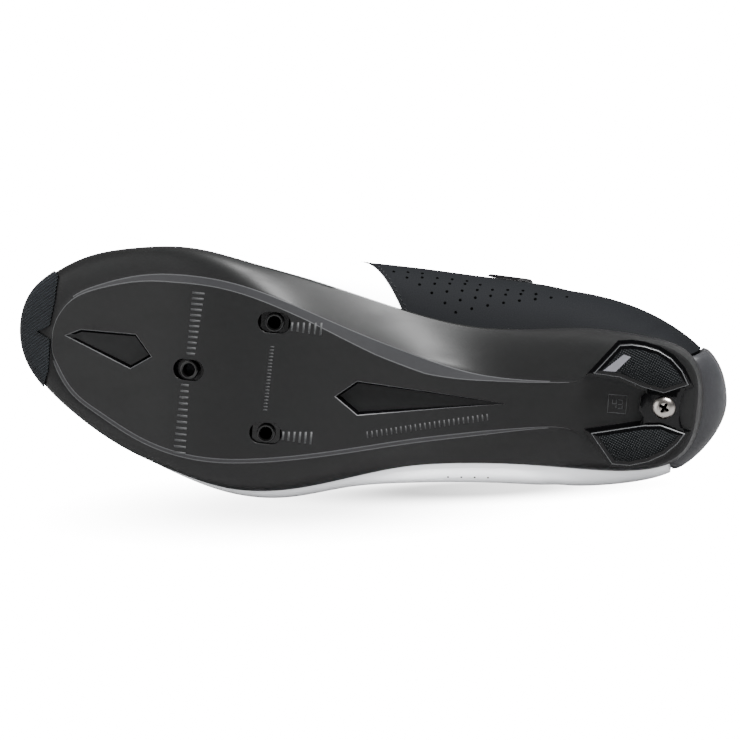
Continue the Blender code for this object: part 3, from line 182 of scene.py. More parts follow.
def bottom_z(x):
    """Height of the sole's bottom over the ground plane."""
    x = np.asarray(x, float)
    tangent = np.gradient(BOTTOM_LINE[:, 1], BOTTOM_LINE[:, 0])
    tangent[-1] = 0.0
    k = np.clip(np.searchsorted(BOTTOM_LINE[:, 0], x) - 1, 0, len(BOTTOM_LINE) - 2)
    h = BOTTOM_LINE[k + 1, 0] - BOTTOM_LINE[k, 0]
    t = np.clip((x - BOTTOM_LINE[k, 0]) / h, 0.0, 1.0)
    flat = (2 * t ** 3 - 3 * t ** 2 + 1) * BOTTOM_LINE[k, 1] + (t ** 3 - 2 * t ** 2 + t) * h * tangent[k]
    flat = flat + (3 * t ** 2 - 2 * t ** 3) * BOTTOM_LINE[k + 1, 1] + (t ** 3 - t ** 2) * h * tangent[k + 1]
    length = SPRING_RADIUS * math.sin(SPRING_ANGLE)
    run = np.clip(x - SPRING_START, 0.0, length)
    arc = SPRING_RADIUS - np.sqrt(SPRING_RADIUS ** 2 - run ** 2)
    straight = np.clip(x - SPRING_START - length, 0.0, None) * math.tan(SPRING_ANGLE)
    return np.where(x < SPRING_START, flat, arc + straight)


def sole_loops(u):
    table = periodic_spline(SOLE_TABLE, u)
    return table[:, :3], table[:, 3:5], np.clip(table[:, 5], -1.0, 1.0)


def inset(points, u, distance):
    """The loop moved inward in plan by a distance, at the same parameters."""
    along = sole_loops(np.asarray(u) + 0.002)[0][:, :2] - sole_loops(np.asarray(u) - 0.002)[0][:, :2]
    along /= np.linalg.norm(along, axis=1)[:, None]
    moved = points.copy()
    moved[:, 0] += along[:, 1] * distance
    moved[:, 1] -= along[:, 0] * distance
    return moved


def bezier(points, t):
    a, b, c, d = points
    return (1 - t) ** 3 * a + 3 * (1 - t) ** 2 * t * b + 3 * (1 - t) * t ** 2 * c + t ** 3 * d


UP = np.array([0.0, 0.0, 1.0])


def upper_surface(u, rows):
    """The last's outer surface: an array of columns x rows x 3. A row is 0..1 up to the widest line, 1..2 above."""
    u = np.atleast_1d(u)
    edge = sole_loops(u)[0]
    table = periodic_spline(UPPER_TABLE, u)
    start = inset(edge, u, RIM_INSET)
    start[:, 2] += GAP
    wide, top = table[:, :3], table[:, 3:6]
    lean = np.radians(table[:, 6])[:, None]
    puff = table[:, 7][:, None]
    rise = (wide - start) * UP
    out = (wide - start) * (1 - UP)
    below = (start, start + 0.55 * out + 0.12 * rise, wide - 0.55 * rise, wide)
    height = (top - wide) * UP
    flat = (top - wide) * (1 - UP)
    reach = np.linalg.norm(top - wide, axis=1)[:, None]
    toward = flat / np.maximum(np.linalg.norm(flat, axis=1)[:, None], 1e-3)
    arrive = np.cos(lean) * toward + np.sin(lean) * UP
    above = (wide, wide + puff * height, top - 0.36 * reach * arrive, top)
    return np.stack([bezier(below, r) if r < 1.0 else bezier(above, r - 1.0) for r in rows], axis=1)


def grid_normals(grid):
    along = np.roll(grid, -1, 0) - np.roll(grid, 1, 0)
    normal = np.cross(np.gradient(grid, axis=1), along)
    return normal / np.maximum(np.linalg.norm(normal, axis=2), 1e-9)[:, :, None]


print("sole outline is", round(CHORDS.sum(), 1), "mm round; the toe is at", round(TOE_PARAMETER, 3))

# %% [markdown]
# ## Laying the shoe down
# The cleat nuts' mounts in the record say where the slots are in the world. Their places in the shoe's
# own frame are known too, so the two together give the matrix from one to the other.

# %%
CLEAT_REAR = np.array((180.9, -2.1))
CLEAT_SPACING_X, CLEAT_SPACING_Y = 33.0, 44.0
NUTS = {
    "front": (CLEAT_REAR[0] + CLEAT_SPACING_X, CLEAT_REAR[1]),
    "rear_medial": (CLEAT_REAR[0], CLEAT_REAR[1] + CLEAT_SPACING_Y / 2),
    "rear_lateral": (CLEAT_REAR[0], CLEAT_REAR[1] - CLEAT_SPACING_Y / 2),
}
NUT_RECESS = 0.5
NUT_MOUNT_RADIUS = 3.15


def slot_frame(place):
    """A cleat slot: its origin on the sole's bottom, x along the bottom's slope, z into the sole."""
    x, y = place
    ahead = Vector((8.0, 0.0, float(bottom_z(x + 4.0) - bottom_z(x - 4.0)))).normalized()
    turn = Matrix((ahead, (0, 1, 0), ahead.cross(Vector((0, 1, 0))))).transposed().to_4x4()
    return Matrix.Translation(Vector((x, y, float(bottom_z(x))))) @ turn


mounts = {m["name"]: m for m in record["mounts"]}
medial_mount = Vector(mounts["cleat_face_rear_medial"]["pos_m"]) * 1000
lateral_mount = Vector(mounts["cleat_face_rear_lateral"]["pos_m"]) * 1000
across = (medial_mount - lateral_mount).normalized()
inward = -Vector(mounts["cleat_face_rear_medial"]["axis"]).normalized()
inward = (inward - across * inward.dot(across)).normalized()
origin = medial_mount - inward * NUT_RECESS - across * NUT_MOUNT_RADIUS
slot_in_world = Matrix.Translation(origin) @ Matrix((across.cross(inward), across, inward)).transposed().to_4x4()
LAY = slot_in_world @ slot_frame(NUTS["rear_medial"]).inverted()
LAY_DOWN = Matrix.Scale(0.001, 4) @ LAY
print("the shoe's up points to", [round(c, 3) for c in LAY.col[2][:3]])

# %% [markdown]
# ## The camera
# The photo looks at the sole from below the shoe. The camera's angles are kept in the shoe's frame, then
# laid down with it, so its view stays the photo's while the floor comes in under the shoe.

# %%
PHOTO_SIZE = 740
ROLL, PITCH, YAW = (math.radians(a) for a in (5.0, 5.0, 4.0))
DISTANCE = 1400.0
FOCAL_PIXELS = 3542.0
AIM = Vector((142.1, 4.0, 6.0))
right = Vector((-math.cos(ROLL), math.sin(ROLL), 0.0))
up = Vector((math.sin(ROLL), math.cos(ROLL), 0.0))
ahead = Vector((0.0, 0.0, 1.0))
ahead, up = ahead * math.cos(PITCH) - up * math.sin(PITCH), up * math.cos(PITCH) + ahead * math.sin(PITCH)
right, ahead = right * math.cos(YAW) + ahead * math.sin(YAW), ahead * math.cos(YAW) - right * math.sin(YAW)
EYE = AIM - ahead * DISTANCE
camera_data = bpy.data.cameras.new("camera")
camera_data.sensor_width = 36.0
camera_data.lens = 36.0 * FOCAL_PIXELS / PHOTO_SIZE
camera_data.clip_end = 100.0
camera = bpy.data.objects.new("camera", camera_data)
bpy.context.scene.collection.objects.link(camera)
bpy.context.scene.camera = camera
axes = LAY.to_3x3() @ Matrix((right, up, -ahead)).transposed()
camera.matrix_world = Matrix.Translation(LAY_DOWN @ EYE) @ axes.to_4x4()


def ray(px, py):
    """Direction from the eye through a place in the photo, in the shoe's frame."""
    return (ahead * FOCAL_PIXELS + right * (px - PHOTO_SIZE / 2) - up * (py - PHOTO_SIZE / 2)).normalized()


looking = axes @ Vector((0, 0, -1))
print("camera looks down by", round(math.degrees(math.asin(-looking.z)), 1), "degrees")

# %% [markdown]
# ## Making pieces
# Small helpers: a mesh in the shoe's frame, Booleans, a piece that rides on a body, and copies of a small
# shape made with Geometry Nodes.

# %%


def mesh_object(name, verts, faces, look=None):
    mesh = bpy.data.meshes.new(name)
    mesh.from_pydata([tuple(map(float, v)) for v in verts], [], [tuple(map(int, f)) for f in faces])
    mesh.update()
    made = bpy.data.objects.new(name, mesh)
    bpy.context.scene.collection.objects.link(made)
    if look:
        mesh.materials.append(look)
    return made


def outward(made, merge=1e-4):
    """Joins doubled points and turns a closed mesh's faces outward."""
    work = bmesh.new()
    work.from_mesh(made.data)
    bmesh.ops.remove_doubles(work, verts=work.verts, dist=merge)
    bmesh.ops.dissolve_degenerate(work, edges=work.edges, dist=merge)
    bmesh.ops.recalc_face_normals(work, faces=work.faces)
    if work.calc_volume(signed=True) < 0:
        bmesh.ops.reverse_faces(work, faces=work.faces)
    work.to_mesh(made.data)
    work.free()
    return made


def apply_modifiers(made):
    """Turns an object with modifiers into a plain mesh."""
    bpy.context.view_layer.update()
    done = bpy.data.meshes.new_from_object(made.evaluated_get(bpy.context.evaluated_depsgraph_get()))
    old = made.data
    made.modifiers.clear()
    made.data = done
    bpy.data.meshes.remove(old)
    return made


def combine(target, others, operation):
    for other in others:
        change = target.modifiers.new("cut", "BOOLEAN")
        change.operation = operation
        change.solver = "EXACT"
        change.material_mode = "TRANSFER"
        change.object = other
        apply_modifiers(target)
        bpy.data.objects.remove(other, do_unlink=True)
    return target


def bevel(made, width, segments=2, angle=40.0):
    """Rounds the edges sharper than an angle."""
    change = made.modifiers.new("bevel", "BEVEL")
    change.width = width
    change.segments = segments
    change.limit_method = "ANGLE"
    change.angle_limit = math.radians(angle)
    change.use_clamp_overlap = True
    return apply_modifiers(made)


def piece(made, body="shoe", stands_for=(), angle=35.0):
    """Lays a piece down, gives it smooth shading up to an angle, and lets it ride on its body."""
    made.data.transform(LAY_DOWN)
    made.data.shade_smooth()
    if angle:
        made.data.set_sharp_from_angle(angle=math.radians(angle))
    made.data.update()
    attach(made, body)
    if stands_for:
        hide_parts(*stands_for)
    return made


def add(tree, kind, inputs=(), **settings):
    """A new node with its settings. An input takes a value, or the output that it is linked from."""
    node = tree.nodes.new(kind)
    for key, value in settings.items():
        setattr(node, key, value)
    for key, value in dict(inputs).items():
        if isinstance(value, bpy.types.NodeSocket):
            tree.links.new(value, node.inputs[key])
        else:
            node.inputs[key].default_value = value
    return node


def scatter(name, places, shape, look):
    """One copy of a small shape at each 4 x 4 matrix, made with Geometry Nodes and kept as a plain mesh."""
    points = bpy.data.meshes.new(name + "_places")
    points.from_pydata([tuple(m.translation) for m in places], [], [])
    for attribute, rows in (("turn", [m.to_euler() for m in places]), ("size", [m.to_scale() for m in places])):
        made = points.attributes.new(attribute, "FLOAT_VECTOR", "POINT")
        made.data.foreach_set("vector", np.array([tuple(row) for row in rows], np.float32).ravel())
    made = bpy.data.objects.new(name, points)
    bpy.context.scene.collection.objects.link(made)
    tree = bpy.data.node_groups.new(name + "_copies", "GeometryNodeTree")
    tree.interface.new_socket("Geometry", in_out="INPUT", socket_type="NodeSocketGeometry")
    tree.interface.new_socket("Geometry", in_out="OUTPUT", socket_type="NodeSocketGeometry")
    start = add(tree, "NodeGroupInput")
    source = add(tree, "GeometryNodeObjectInfo", {"Object": shape})
    turn, size = (add(tree, "GeometryNodeInputNamedAttribute", {"Name": attribute}, data_type="FLOAT_VECTOR")
                  for attribute in ("turn", "size"))
    copies = add(tree, "GeometryNodeInstanceOnPoints", {"Points": start.outputs[0], "Rotation": turn.outputs[0],
                                                        "Instance": source.outputs["Geometry"],
                                                        "Scale": size.outputs[0]})
    real = add(tree, "GeometryNodeRealizeInstances", {0: copies.outputs[0]})
    paint = add(tree, "GeometryNodeSetMaterial", {"Geometry": real.outputs[0], "Material": look})
    add(tree, "NodeGroupOutput", {0: paint.outputs[0]})
    change = made.modifiers.new("copies", "NODES")
    change.node_group = tree
    apply_modifiers(made)
    bpy.data.objects.remove(shape, do_unlink=True)
    if not made.data.materials:
        made.data.materials.append(look)
    return made


def frame_at(place, normal, along):
    """A matrix with its z along the normal and its x near along."""
    normal = Vector(normal).normalized()
    side = normal.cross(Vector(along)).normalized()
    turn = Matrix((side.cross(normal), side, normal)).transposed().to_4x4()
    return Matrix.Translation(Vector(place)) @ turn


def turned(profile, sides):
    """Rings of points round z, one for each (radius, height) row."""
    verts = []
    for radius, height in profile:
        for k in range(sides):
            a = 2 * math.pi * k / sides
            verts.append((radius * math.cos(a), radius * math.sin(a), height))
    return verts


def lathe(name, profile, sides, look=None):
    """A turned solid round z from (radius, height) rows, closed by flat ends."""
    verts = turned(profile, sides)
    last = (len(profile) - 1) * sides
    faces = [tuple(range(sides))[::-1], tuple(range(last, last + sides))]
    for ring in range(len(profile) - 1):
        s = ring * sides
        faces += [(s + k, s + (k + 1) % sides, s + sides + (k + 1) % sides, s + sides + k) for k in range(sides)]
    return mesh_object(name, verts, faces, look)


def stack(name, loops, look=None, caps=True):
    """A solid from closed loops of the same count, one over the other."""
    n = len(loops[0])
    verts = [p for loop in loops for p in loop]
    faces = []
    for r in range(len(loops) - 1):
        s = r * n
        faces += [(s + k, s + (k + 1) % n, s + n + (k + 1) % n, s + n + k) for k in range(n)]
    if caps:
        faces += [tuple(range(n))[::-1], tuple(range(len(verts) - n, len(verts)))]
    return mesh_object(name, verts, faces, look)


print("helpers ready")

# %% [markdown]
# ## Materials
# Two shared node groups: one gives a fine even grain, as of moulded plastic or rubber, and one gives soft
# scuffs that raise the roughness. Each material then has its own colour, roughness and coat.

# %%


def shader_group(name, taken, given):
    """A shader group with one number in and one number out: the tree, its input and its object coordinates."""
    tree = bpy.data.node_groups.new(name, "ShaderNodeTree")
    tree.interface.new_socket(taken, in_out="INPUT", socket_type="NodeSocketFloat")
    tree.interface.new_socket(given, in_out="OUTPUT", socket_type="NodeSocketFloat")
    return tree, add(tree, "NodeGroupInput").outputs[0], add(tree, "ShaderNodeTexCoord").outputs["Object"]


def grain_group():
    """Height of a fine grain from object coordinates in metres."""
    tree, scale, place = shader_group("fine_grain", "Scale", "Height")
    noise = add(tree, "ShaderNodeTexNoise", {"Detail": 2.0, "Vector": place, "Scale": scale})
    add(tree, "NodeGroupOutput", {0: noise.outputs["Fac"]})
    return tree


def scuff_group():
    """How rubbed a place is, from 0 to 1: broad soft patches with finer streaks along the shoe."""
    tree, amount, place = shader_group("soft_scuffs", "Amount", "Wear")
    stretch = add(tree, "ShaderNodeMapping", {"Vector": place, "Scale": (30.0, 120.0, 120.0)})
    noise = add(tree, "ShaderNodeTexNoise", {"Vector": stretch.outputs[0], "Scale": 1.0, "Detail": 5.0})
    clip = add(tree, "ShaderNodeMapRange", {"Value": noise.outputs["Fac"], "From Min": 0.50, "From Max": 0.75})
    times = add(tree, "ShaderNodeMath", {0: clip.outputs[0], 1: amount}, operation="MULTIPLY")
    add(tree, "NodeGroupOutput", {0: times.outputs[0]})
    return tree


GRAIN, SCUFFS = grain_group(), scuff_group()


def material(name, color, rough, metal=0.0, coat=0.0, grain=0.0, grain_scale=1500.0, wear=0.0, spec=0.5):
    """A plain material with a fine grain and soft wear."""
    made = bpy.data.materials.new(name)
    made.use_nodes = True
    tree = made.node_tree
    shader = tree.nodes["Principled BSDF"]
    values = {"Base Color": (*color, 1.0), "Roughness": rough, "Metallic": metal, "Coat Weight": coat,
              "Coat Roughness": 0.08, "Specular IOR Level": spec}
    for key, value in values.items():
        shader.inputs[key].default_value = value
    if grain:
        group = add(tree, "ShaderNodeGroup", node_tree=GRAIN)
        group.inputs["Scale"].default_value = grain_scale
        bump = add(tree, "ShaderNodeBump", {"Strength": 1.0, "Distance": grain, "Height": group.outputs["Height"]})
        tree.links.new(bump.outputs[0], shader.inputs["Normal"])
    if wear:
        group = add(tree, "ShaderNodeGroup", node_tree=SCUFFS)
        group.inputs["Amount"].default_value = wear
        total = add(tree, "ShaderNodeMath", {0: group.outputs["Wear"], 1: rough}, operation="ADD", use_clamp=True)
        tree.links.new(total.outputs[0], shader.inputs["Roughness"])
    made.diffuse_color = (*color, 1.0)
    return made


def math_node(tree, operation, first, second=0.5):
    return add(tree, "ShaderNodeMath", {0: first, 1: second}, operation=operation).outputs[0]


def color_mix(tree, share, first, second):
    """Two colours mixed by a number from 0 to 1."""
    return add(tree, "ShaderNodeMix", {0: share, 6: (*first, 1.0), 7: (*second, 1.0)}, data_type="RGBA").outputs[2]


def rib_height(tree, directions, pitch):
    """Height of crossed ribs: the lesser wave of one or two directions in object coordinates."""
    place = add(tree, "ShaderNodeTexCoord").outputs["Object"]
    height = None
    for direction in directions:
        step = tuple(Vector(direction) * 2 * math.pi / pitch)
        dot = add(tree, "ShaderNodeVectorMath", {0: place, 1: step}, operation="DOT_PRODUCT")
        wave = math_node(tree, "SINE", dot.outputs["Value"])
        height = wave if height is None else math_node(tree, "MINIMUM", height, wave)
    return height


def ribbed(made, directions, pitch, depth, dark, light):
    """Adds ribs to a material: bump, and painted shade, a slightly darker colour in the grooves."""
    tree = made.node_tree
    shader = tree.nodes["Principled BSDF"]
    height = rib_height(tree, directions, pitch)
    bump = add(tree, "ShaderNodeBump", {"Strength": 1.0, "Distance": depth, "Height": height})
    tree.links.new(bump.outputs[0], shader.inputs["Normal"])
    share = add(tree, "ShaderNodeMapRange", {"From Min": -1.0, "From Max": 0.6, "Value": height})
    tree.links.new(color_mix(tree, share.outputs[0], dark, light), shader.inputs["Base Color"])
    return made


TO_WORLD = LAY.to_3x3()
HEEL_TO_TOE = TO_WORLD @ Vector((1, 0, 0))
TO_MEDIAL = TO_WORLD @ Vector((0, 1, 0))

PLATE = material("sole_plate", (0.0175, 0.0178, 0.018), 0.42, grain=0.00002, grain_scale=2500.0, wear=0.10, spec=0.35)
# Painted sheen: a lighter copy of the sole's plastic on the bevelled band, standing in for the light it catches.
BEVEL = material("painted_band_sheen", (0.048, 0.049, 0.052), 0.38, grain=0.00002, grain_scale=2500.0, spec=0.4)
# Painted highlight: a light grey for thin lines along the band's edges, the vent rims and the heel wings' rims.
EDGE_HIGHLIGHT = material("painted_edge_highlight", (0.115, 0.118, 0.122), 0.35, wear=0.2)
# Painted reflection: light grey on the heel wing's front facet, standing in for the light it reflects.
FACET_REFLECTION = material("painted_facet_reflection", (0.30, 0.30, 0.33), 0.3)
# Painted shade: near black for the vents' walls, where shade falls in the recess.
VENT_WALL_SHADE = material("painted_vent_wall_shade", (0.002, 0.002, 0.0022), 0.9, spec=0.02)
VENT_FLOOR = material("vent_floor", (0.0155, 0.016, 0.0165), 0.45, spec=0.35)
GLOSS = material("gloss_black", (0.003, 0.003, 0.0035), 0.10, coat=0.1, spec=0.3)
BLACK_STEEL = material("black_steel", (0.004, 0.004, 0.004), 0.16, spec=0.6)
STEEL = material("stainless_steel", (0.62, 0.58, 0.54), 0.28, metal=1.0, grain=0.00001, grain_scale=4000.0)
# Painted shade: near black for the slots' walls, the sheet at the back of each slot, the screw's cross and the
# perforation dishes.
HOLE_SHADE = material("painted_hole_shade", (0.001, 0.001, 0.001), 0.9, spec=0.02)
TICK = material("tick_print", (0.085, 0.088, 0.09), 0.6)
DIM_PRINT = material("dim_print", (0.062, 0.064, 0.066), 0.6)
# The toe pad's ribs carry painted shade in their grooves.
TOE_RUBBER = material("toe_rubber", (0.03, 0.036, 0.042), 0.62)
ribbed(TOE_RUBBER, [HEEL_TO_TOE * 0.62 + TO_MEDIAL * 0.78], 0.0011, 0.0003, (0.007, 0.009, 0.011),
       (0.022, 0.028, 0.034))
# The checker's ribs carry painted shade in their grooves.
CHECKER = material("checker_rubber", (0.03, 0.035, 0.04), 0.55, spec=0.15)
ribbed(CHECKER, [HEEL_TO_TOE * 0.92 + TO_MEDIAL * 0.38, HEEL_TO_TOE * -0.38 + TO_MEDIAL * 0.92], 0.0009, 0.0002,
       (0.004, 0.005, 0.006), (0.017, 0.020, 0.023))
COUNTER = material("counter_shell", (0.035, 0.036, 0.040), 0.42, grain=0.00003, grain_scale=2500.0, wear=0.15)
LINING = material("lining_cloth", (0.03, 0.03, 0.034), 0.95, grain=0.0002, grain_scale=1800.0)
THREAD = material("dark_thread", (0.020, 0.021, 0.024), 0.8)
CLOTH = material("tongue_cloth", (0.62, 0.63, 0.65), 0.85, grain=0.0003, grain_scale=1500.0)
DIAL = material("dial_plastic", (0.022, 0.022, 0.025), 0.35, coat=0.2)
ANCHOR = material("anchor_black", (0.004, 0.004, 0.005), 0.28, coat=0.2)
GUIDE = material("guide_plastic", (0.035, 0.036, 0.040), 0.45)
LACE = material("steel_lace", (0.28, 0.28, 0.30), 0.35, metal=0.9)


def upper_material():
    """White microfibre, with the dark quarter where the panel attribute is above zero."""
    made = material("upper_skin", (0.80, 0.81, 0.83), 0.75, spec=0.01)
    tree = made.node_tree
    shader = tree.nodes["Principled BSDF"]
    panel = add(tree, "ShaderNodeAttribute", attribute_name="panel").outputs["Fac"]
    edge = add(tree, "ShaderNodeMapRange", {"Value": panel, "From Min": -0.12, "From Max": 0.12})
    color = color_mix(tree, edge.outputs[0], (0.80, 0.81, 0.83), (0.0015, 0.0016, 0.0018))
    tree.links.new(color, shader.inputs["Base Color"])
    group = add(tree, "ShaderNodeGroup", node_tree=GRAIN)
    group.inputs["Scale"].default_value = 1400.0
    step = add(tree, "ShaderNodeMapRange", {"Value": panel, "From Min": -0.7, "From Max": 0.3, "To Max": 6.0})
    height = math_node(tree, "ADD", group.outputs["Height"], step.outputs[0])
    bump = add(tree, "ShaderNodeBump", {"Strength": 0.8, "Distance": 0.00005, "Height": height})
    tree.links.new(bump.outputs[0], shader.inputs["Normal"])
    return made


UPPER_SKIN = upper_material()
print(len(bpy.data.materials), "materials in the file")

# %% [markdown]
# ## The sole plate
# The cross sections run from the edge down to the platform. The vents, the cleat slots and the seats of
# the pads are then cut, each with a narrow chamfer. The band along the platform's edge is painted lighter
# as sheen, with painted highlight lines at its edges; the vent rims are painted highlights, and the vent
# walls and slots are painted shade.

# %%
SOLE_HALF = 150
# Painted highlight lines and painted sheen on the band: the lines' width, the band width above which the sheen and
# the outer line are painted, and the x where the painting starts.
HIGHLIGHT_LINE_WIDTH = 0.45
WIDE_BEVEL = 1.2
LINE_START = 62.0
SIDE_SHARES = (0.07, 0.14, 0.22, 0.30, 0.38, 0.46, 0.54, 0.62, 0.70, 0.78, 0.86, 0.93)
CROSS_SHARES = tuple(k / 14 for k in range(1, 14))


def paired_columns(count):
    share = np.arange(count + 1) / count
    medial = TOE_PARAMETER * share
    lateral = 1.0 - (1.0 - TOE_PARAMETER) * share
    return np.concatenate([medial, lateral[::-1][1:-1]])


def cross_fill(verts, ring, count, height):
    """Faces across a loop of 2*count columns, between matching medial and lateral columns."""
    faces, rows = [], {}
    for i in range(1, count):
        medial, lateral = verts[ring + i], verts[ring + 2 * count - i]
        row = [ring + i]
        for share in CROSS_SHARES:
            x, y = (medial * (1 - share) + lateral * share)[:2]
            verts.append(np.array([x, y, height(x, y, medial[2], lateral[2], share)]))
            row.append(len(verts) - 1)
        row.append(ring + 2 * count - i)
        rows[i] = row
    wide = len(CROSS_SHARES) + 1
    for i in range(1, count - 1):
        faces += [(rows[i][k], rows[i][k + 1], rows[i + 1][k + 1], rows[i + 1][k]) for k in range(wide)]
    for k in range(wide):
        faces.append((ring, rows[1][k + 1], rows[1][k]))
        faces.append((ring + count, rows[count - 1][k], rows[count - 1][k + 1]))
    return faces


def dish_height(x, y, medial_z, lateral_z, share):
    sag = 1.5 * ((1.0 - smooth(205.0, 240.0, x)) + (1.0 - smooth(130.0, 170.0, x)))
    return medial_z * (1 - share) + lateral_z * share - float(sag) * (1.0 - (2.0 * share - 1.0) ** 2)


def band_width(platform):
    """Width of the bevelled band at each platform point."""
    widths = [np.interp(platform[:, 0], *np.array(rows).T) for rows in (BAND_LATERAL, BAND_MEDIAL)]
    share = smooth(-4.0, 4.0, platform[:, 1] + 4.5)
    return widths[0] * (1.0 - share) + widths[1] * share


def sole_solid(name, grow, half=SOLE_HALF, side=SIDE_SHARES, look=None, painted_looks=()):
    u = paired_columns(half)
    edge, platform, scoop = sole_loops(u)
    low = np.column_stack([platform, bottom_z(platform[:, 0])])
    band = band_width(platform)
    low[:, 2] += BAND_SLOPE * band - grow
    edge_low = inset(edge, u, 0.3 - grow)
    edge_low[:, 2] -= 1.6
    edge_top = inset(edge, u, -grow)
    full = np.column_stack([edge_low[:, :2], low[:, 2]])
    hollow = np.column_stack([low[:, :2], edge_low[:, 2]])
    weight = ((1.0 + scoop) / 2.0)[:, None]
    control = (full * weight + hollow * (1.0 - weight)) * 0.92 + (low + edge_low) * 0.04
    dish = inset(edge, u, 8.5)
    dish[:, 2] = edge[:, 2] - (1.2 - smooth(212.0, 245.0, edge[:, 0]))
    loops = [dish, inset(edge, u, 4.0), inset(edge_top, u, 0.25), edge_top - UP * 0.3, edge_low]
    for t in side:
        loops.append((1 - t) ** 2 * edge_low + 2 * (1 - t) * t * control + t * t * low)
    loops.append(low)
    toward = np.column_stack([0.20 * (145.0 - platform[:, 0]), -4.5 - platform[:, 1]])
    toward /= np.linalg.norm(toward, axis=1)[:, None]
    thin = np.minimum(HIGHLIGHT_LINE_WIDTH / band, 0.3)
    first_bevel = len(loops) - 1
    for share in (thin, np.full(len(u), 0.5), 1.0 - thin, np.ones(len(u))):
        flat = platform + toward * (band * share)[:, None]
        z = bottom_z(flat[:, 0]) - grow + BAND_SLOPE * band * (1 - share)
        loops.append(np.column_stack([flat, z]))
    flat = platform + toward * (band + 0.3)[:, None]
    loops.append(np.column_stack([flat, bottom_z(flat[:, 0]) - grow]))
    verts = [p for loop in loops for p in loop]
    count = len(u)
    faces = []
    for k in range(len(loops) - 1):
        for j in range(count):
            n = (j + 1) % count
            faces.append((k * count + j, k * count + n, (k + 1) * count + n, (k + 1) * count + j))
    faces += cross_fill(verts, 0, half, dish_height)
    last = (len(loops) - 1) * count
    faces += cross_fill(verts, last, half, lambda x, y, a, b, s: float(bottom_z(x)) - grow)
    made = mesh_object(name, verts, faces, look)
    if painted_looks:
        for extra in painted_looks:
            made.data.materials.append(extra)
        # Painted highlight lines at both edges of the band, and painted sheen between them.
        for k, choice in enumerate((2, 1, 1, 2)):
            for j in range(count):
                if platform[j, 0] > LINE_START and band[j] > (WIDE_BEVEL if choice == 1 or k == 0 else 0.0):
                    made.data.polygons[(first_bevel + k) * count + j].material_index = choice
    return outward(made)


def offset_plan(plan, distance):
    """A plan outline moved outward by a distance, its corners kept sharp."""
    points = [np.array(p, float) for p in plan]
    area = sum(points[k - 1][0] * points[k][1] - points[k][0] * points[k - 1][1] for k in range(len(points)))
    hand = 1.0 if area > 0 else -1.0
    moved = []
    for k, p in enumerate(points):
        before = p - points[k - 1]
        after = points[(k + 1) % len(points)] - p
        n0 = np.array([before[1], -before[0]]) / np.linalg.norm(before) * hand
        n1 = np.array([after[1], -after[0]]) / np.linalg.norm(after) * hand
        mean = n0 + n1
        moved.append(p + mean * distance * 2.0 / max(mean @ mean, 0.6))
    return moved


def dense(plan, step=2.0):
    """More points along a plan outline's straight runs."""
    points = []
    for k, p in enumerate(plan):
        q = np.array(plan[(k + 1) % len(plan)], float)
        p = np.array(p, float)
        count = max(1, int(np.linalg.norm(q - p) / step))
        points += [p + (q - p) * i / count for i in range(count)]
    return points


def triangulate_caps(made):
    work = bmesh.new()
    work.from_mesh(made.data)
    bmesh.ops.triangulate(work, faces=[f for f in work.faces if len(f.verts) > 4])
    work.to_mesh(made.data)
    work.free()
    return made


def prism(name, plan, base, top):
    """A solid over a plan outline. base and top give z from a point of it."""
    points = [np.array(p, float) for p in plan]
    loops = [[(p[0], p[1], base(p)) for p in points], [(p[0], p[1], top(p)) for p in points]]
    return outward(triangulate_caps(stack(name, loops)))


TOE_VENT = ((266.5, 5.6), (260.2, 8.6), (237.0, 9.3), (229.8, 1.4), (238.2, -4.3))
MID_VENT = ((154.6, -7.3), (146.6, -0.8), (88.0, -5.2), (145.5, -14.0))


def same_count(plan, others, step=2.0):
    """Points along several outlines with matching corners, with the same number on each run."""
    runs = []
    for k in range(len(plan)):
        a, b = np.array(plan[k], float), np.array(plan[(k + 1) % len(plan)], float)
        runs.append(max(1, int(np.linalg.norm(b - a) / step)))
    made = []
    for outline in (plan, *others):
        points = []
        for k, count in enumerate(runs):
            a, b = np.array(outline[k], float), np.array(outline[(k + 1) % len(outline)], float)
            points += [a + (b - a) * i / count for i in range(count)]
        made.append(points)
    return made


# A vent's cutter carries the painted shade into the walls it cuts.
def vent_cutter(name, plan, deep, deep_corner, wall=0.9, chamfer=0.35):
    corner = np.array(plan[deep_corner], float)
    far = max(np.linalg.norm(np.array(p) - corner) for p in plan)
    outer, mouth, floor = same_count(plan, [offset_plan(plan, chamfer), offset_plan(plan, -wall)])
    loops = []
    for points, sink in ((mouth, -3.0), (mouth, 0.0), (outer, 0.3)):
        loops.append([(p[0], p[1], float(bottom_z(p[0])) + sink) for p in points])
    ground = []
    for p in floor:
        depth = deep * max(0.0, 1.0 - np.linalg.norm(p - corner) / far) + 0.4
        ground.append((p[0], p[1], float(bottom_z(p[0])) + depth))
    loops.append(ground)
    return outward(triangulate_caps(stack(name, loops, VENT_WALL_SHADE)))


def oblong_plan(length, width, sides=14):
    radius, half = width / 2, length / 2 - width / 2
    plan = []
    for end, turn in ((half, -math.pi / 2), (-half, math.pi / 2)):
        for k in range(sides + 1):
            a = turn + math.pi * k / sides
            plan.append((end + radius * math.cos(a), radius * math.sin(a)))
    return plan


def slot_cutter(place):
    # The cutter's faces carry the painted shade into the slot's walls.
    loops = []
    for length, width, z in ((13.3, 8.7, -2.0), (13.3, 8.7, -0.01), (13.0, 8.4, 0.16), (13.0, 8.4, 2.2),
                             (17.0, 14.0, 2.2), (17.0, 14.0, 12.0)):
        loops.append([(x, y, z) for x, y in oblong_plan(length, width)])
    made = outward(stack("slot", loops, HOLE_SHADE))
    made.data.transform(slot_frame(place))
    return made


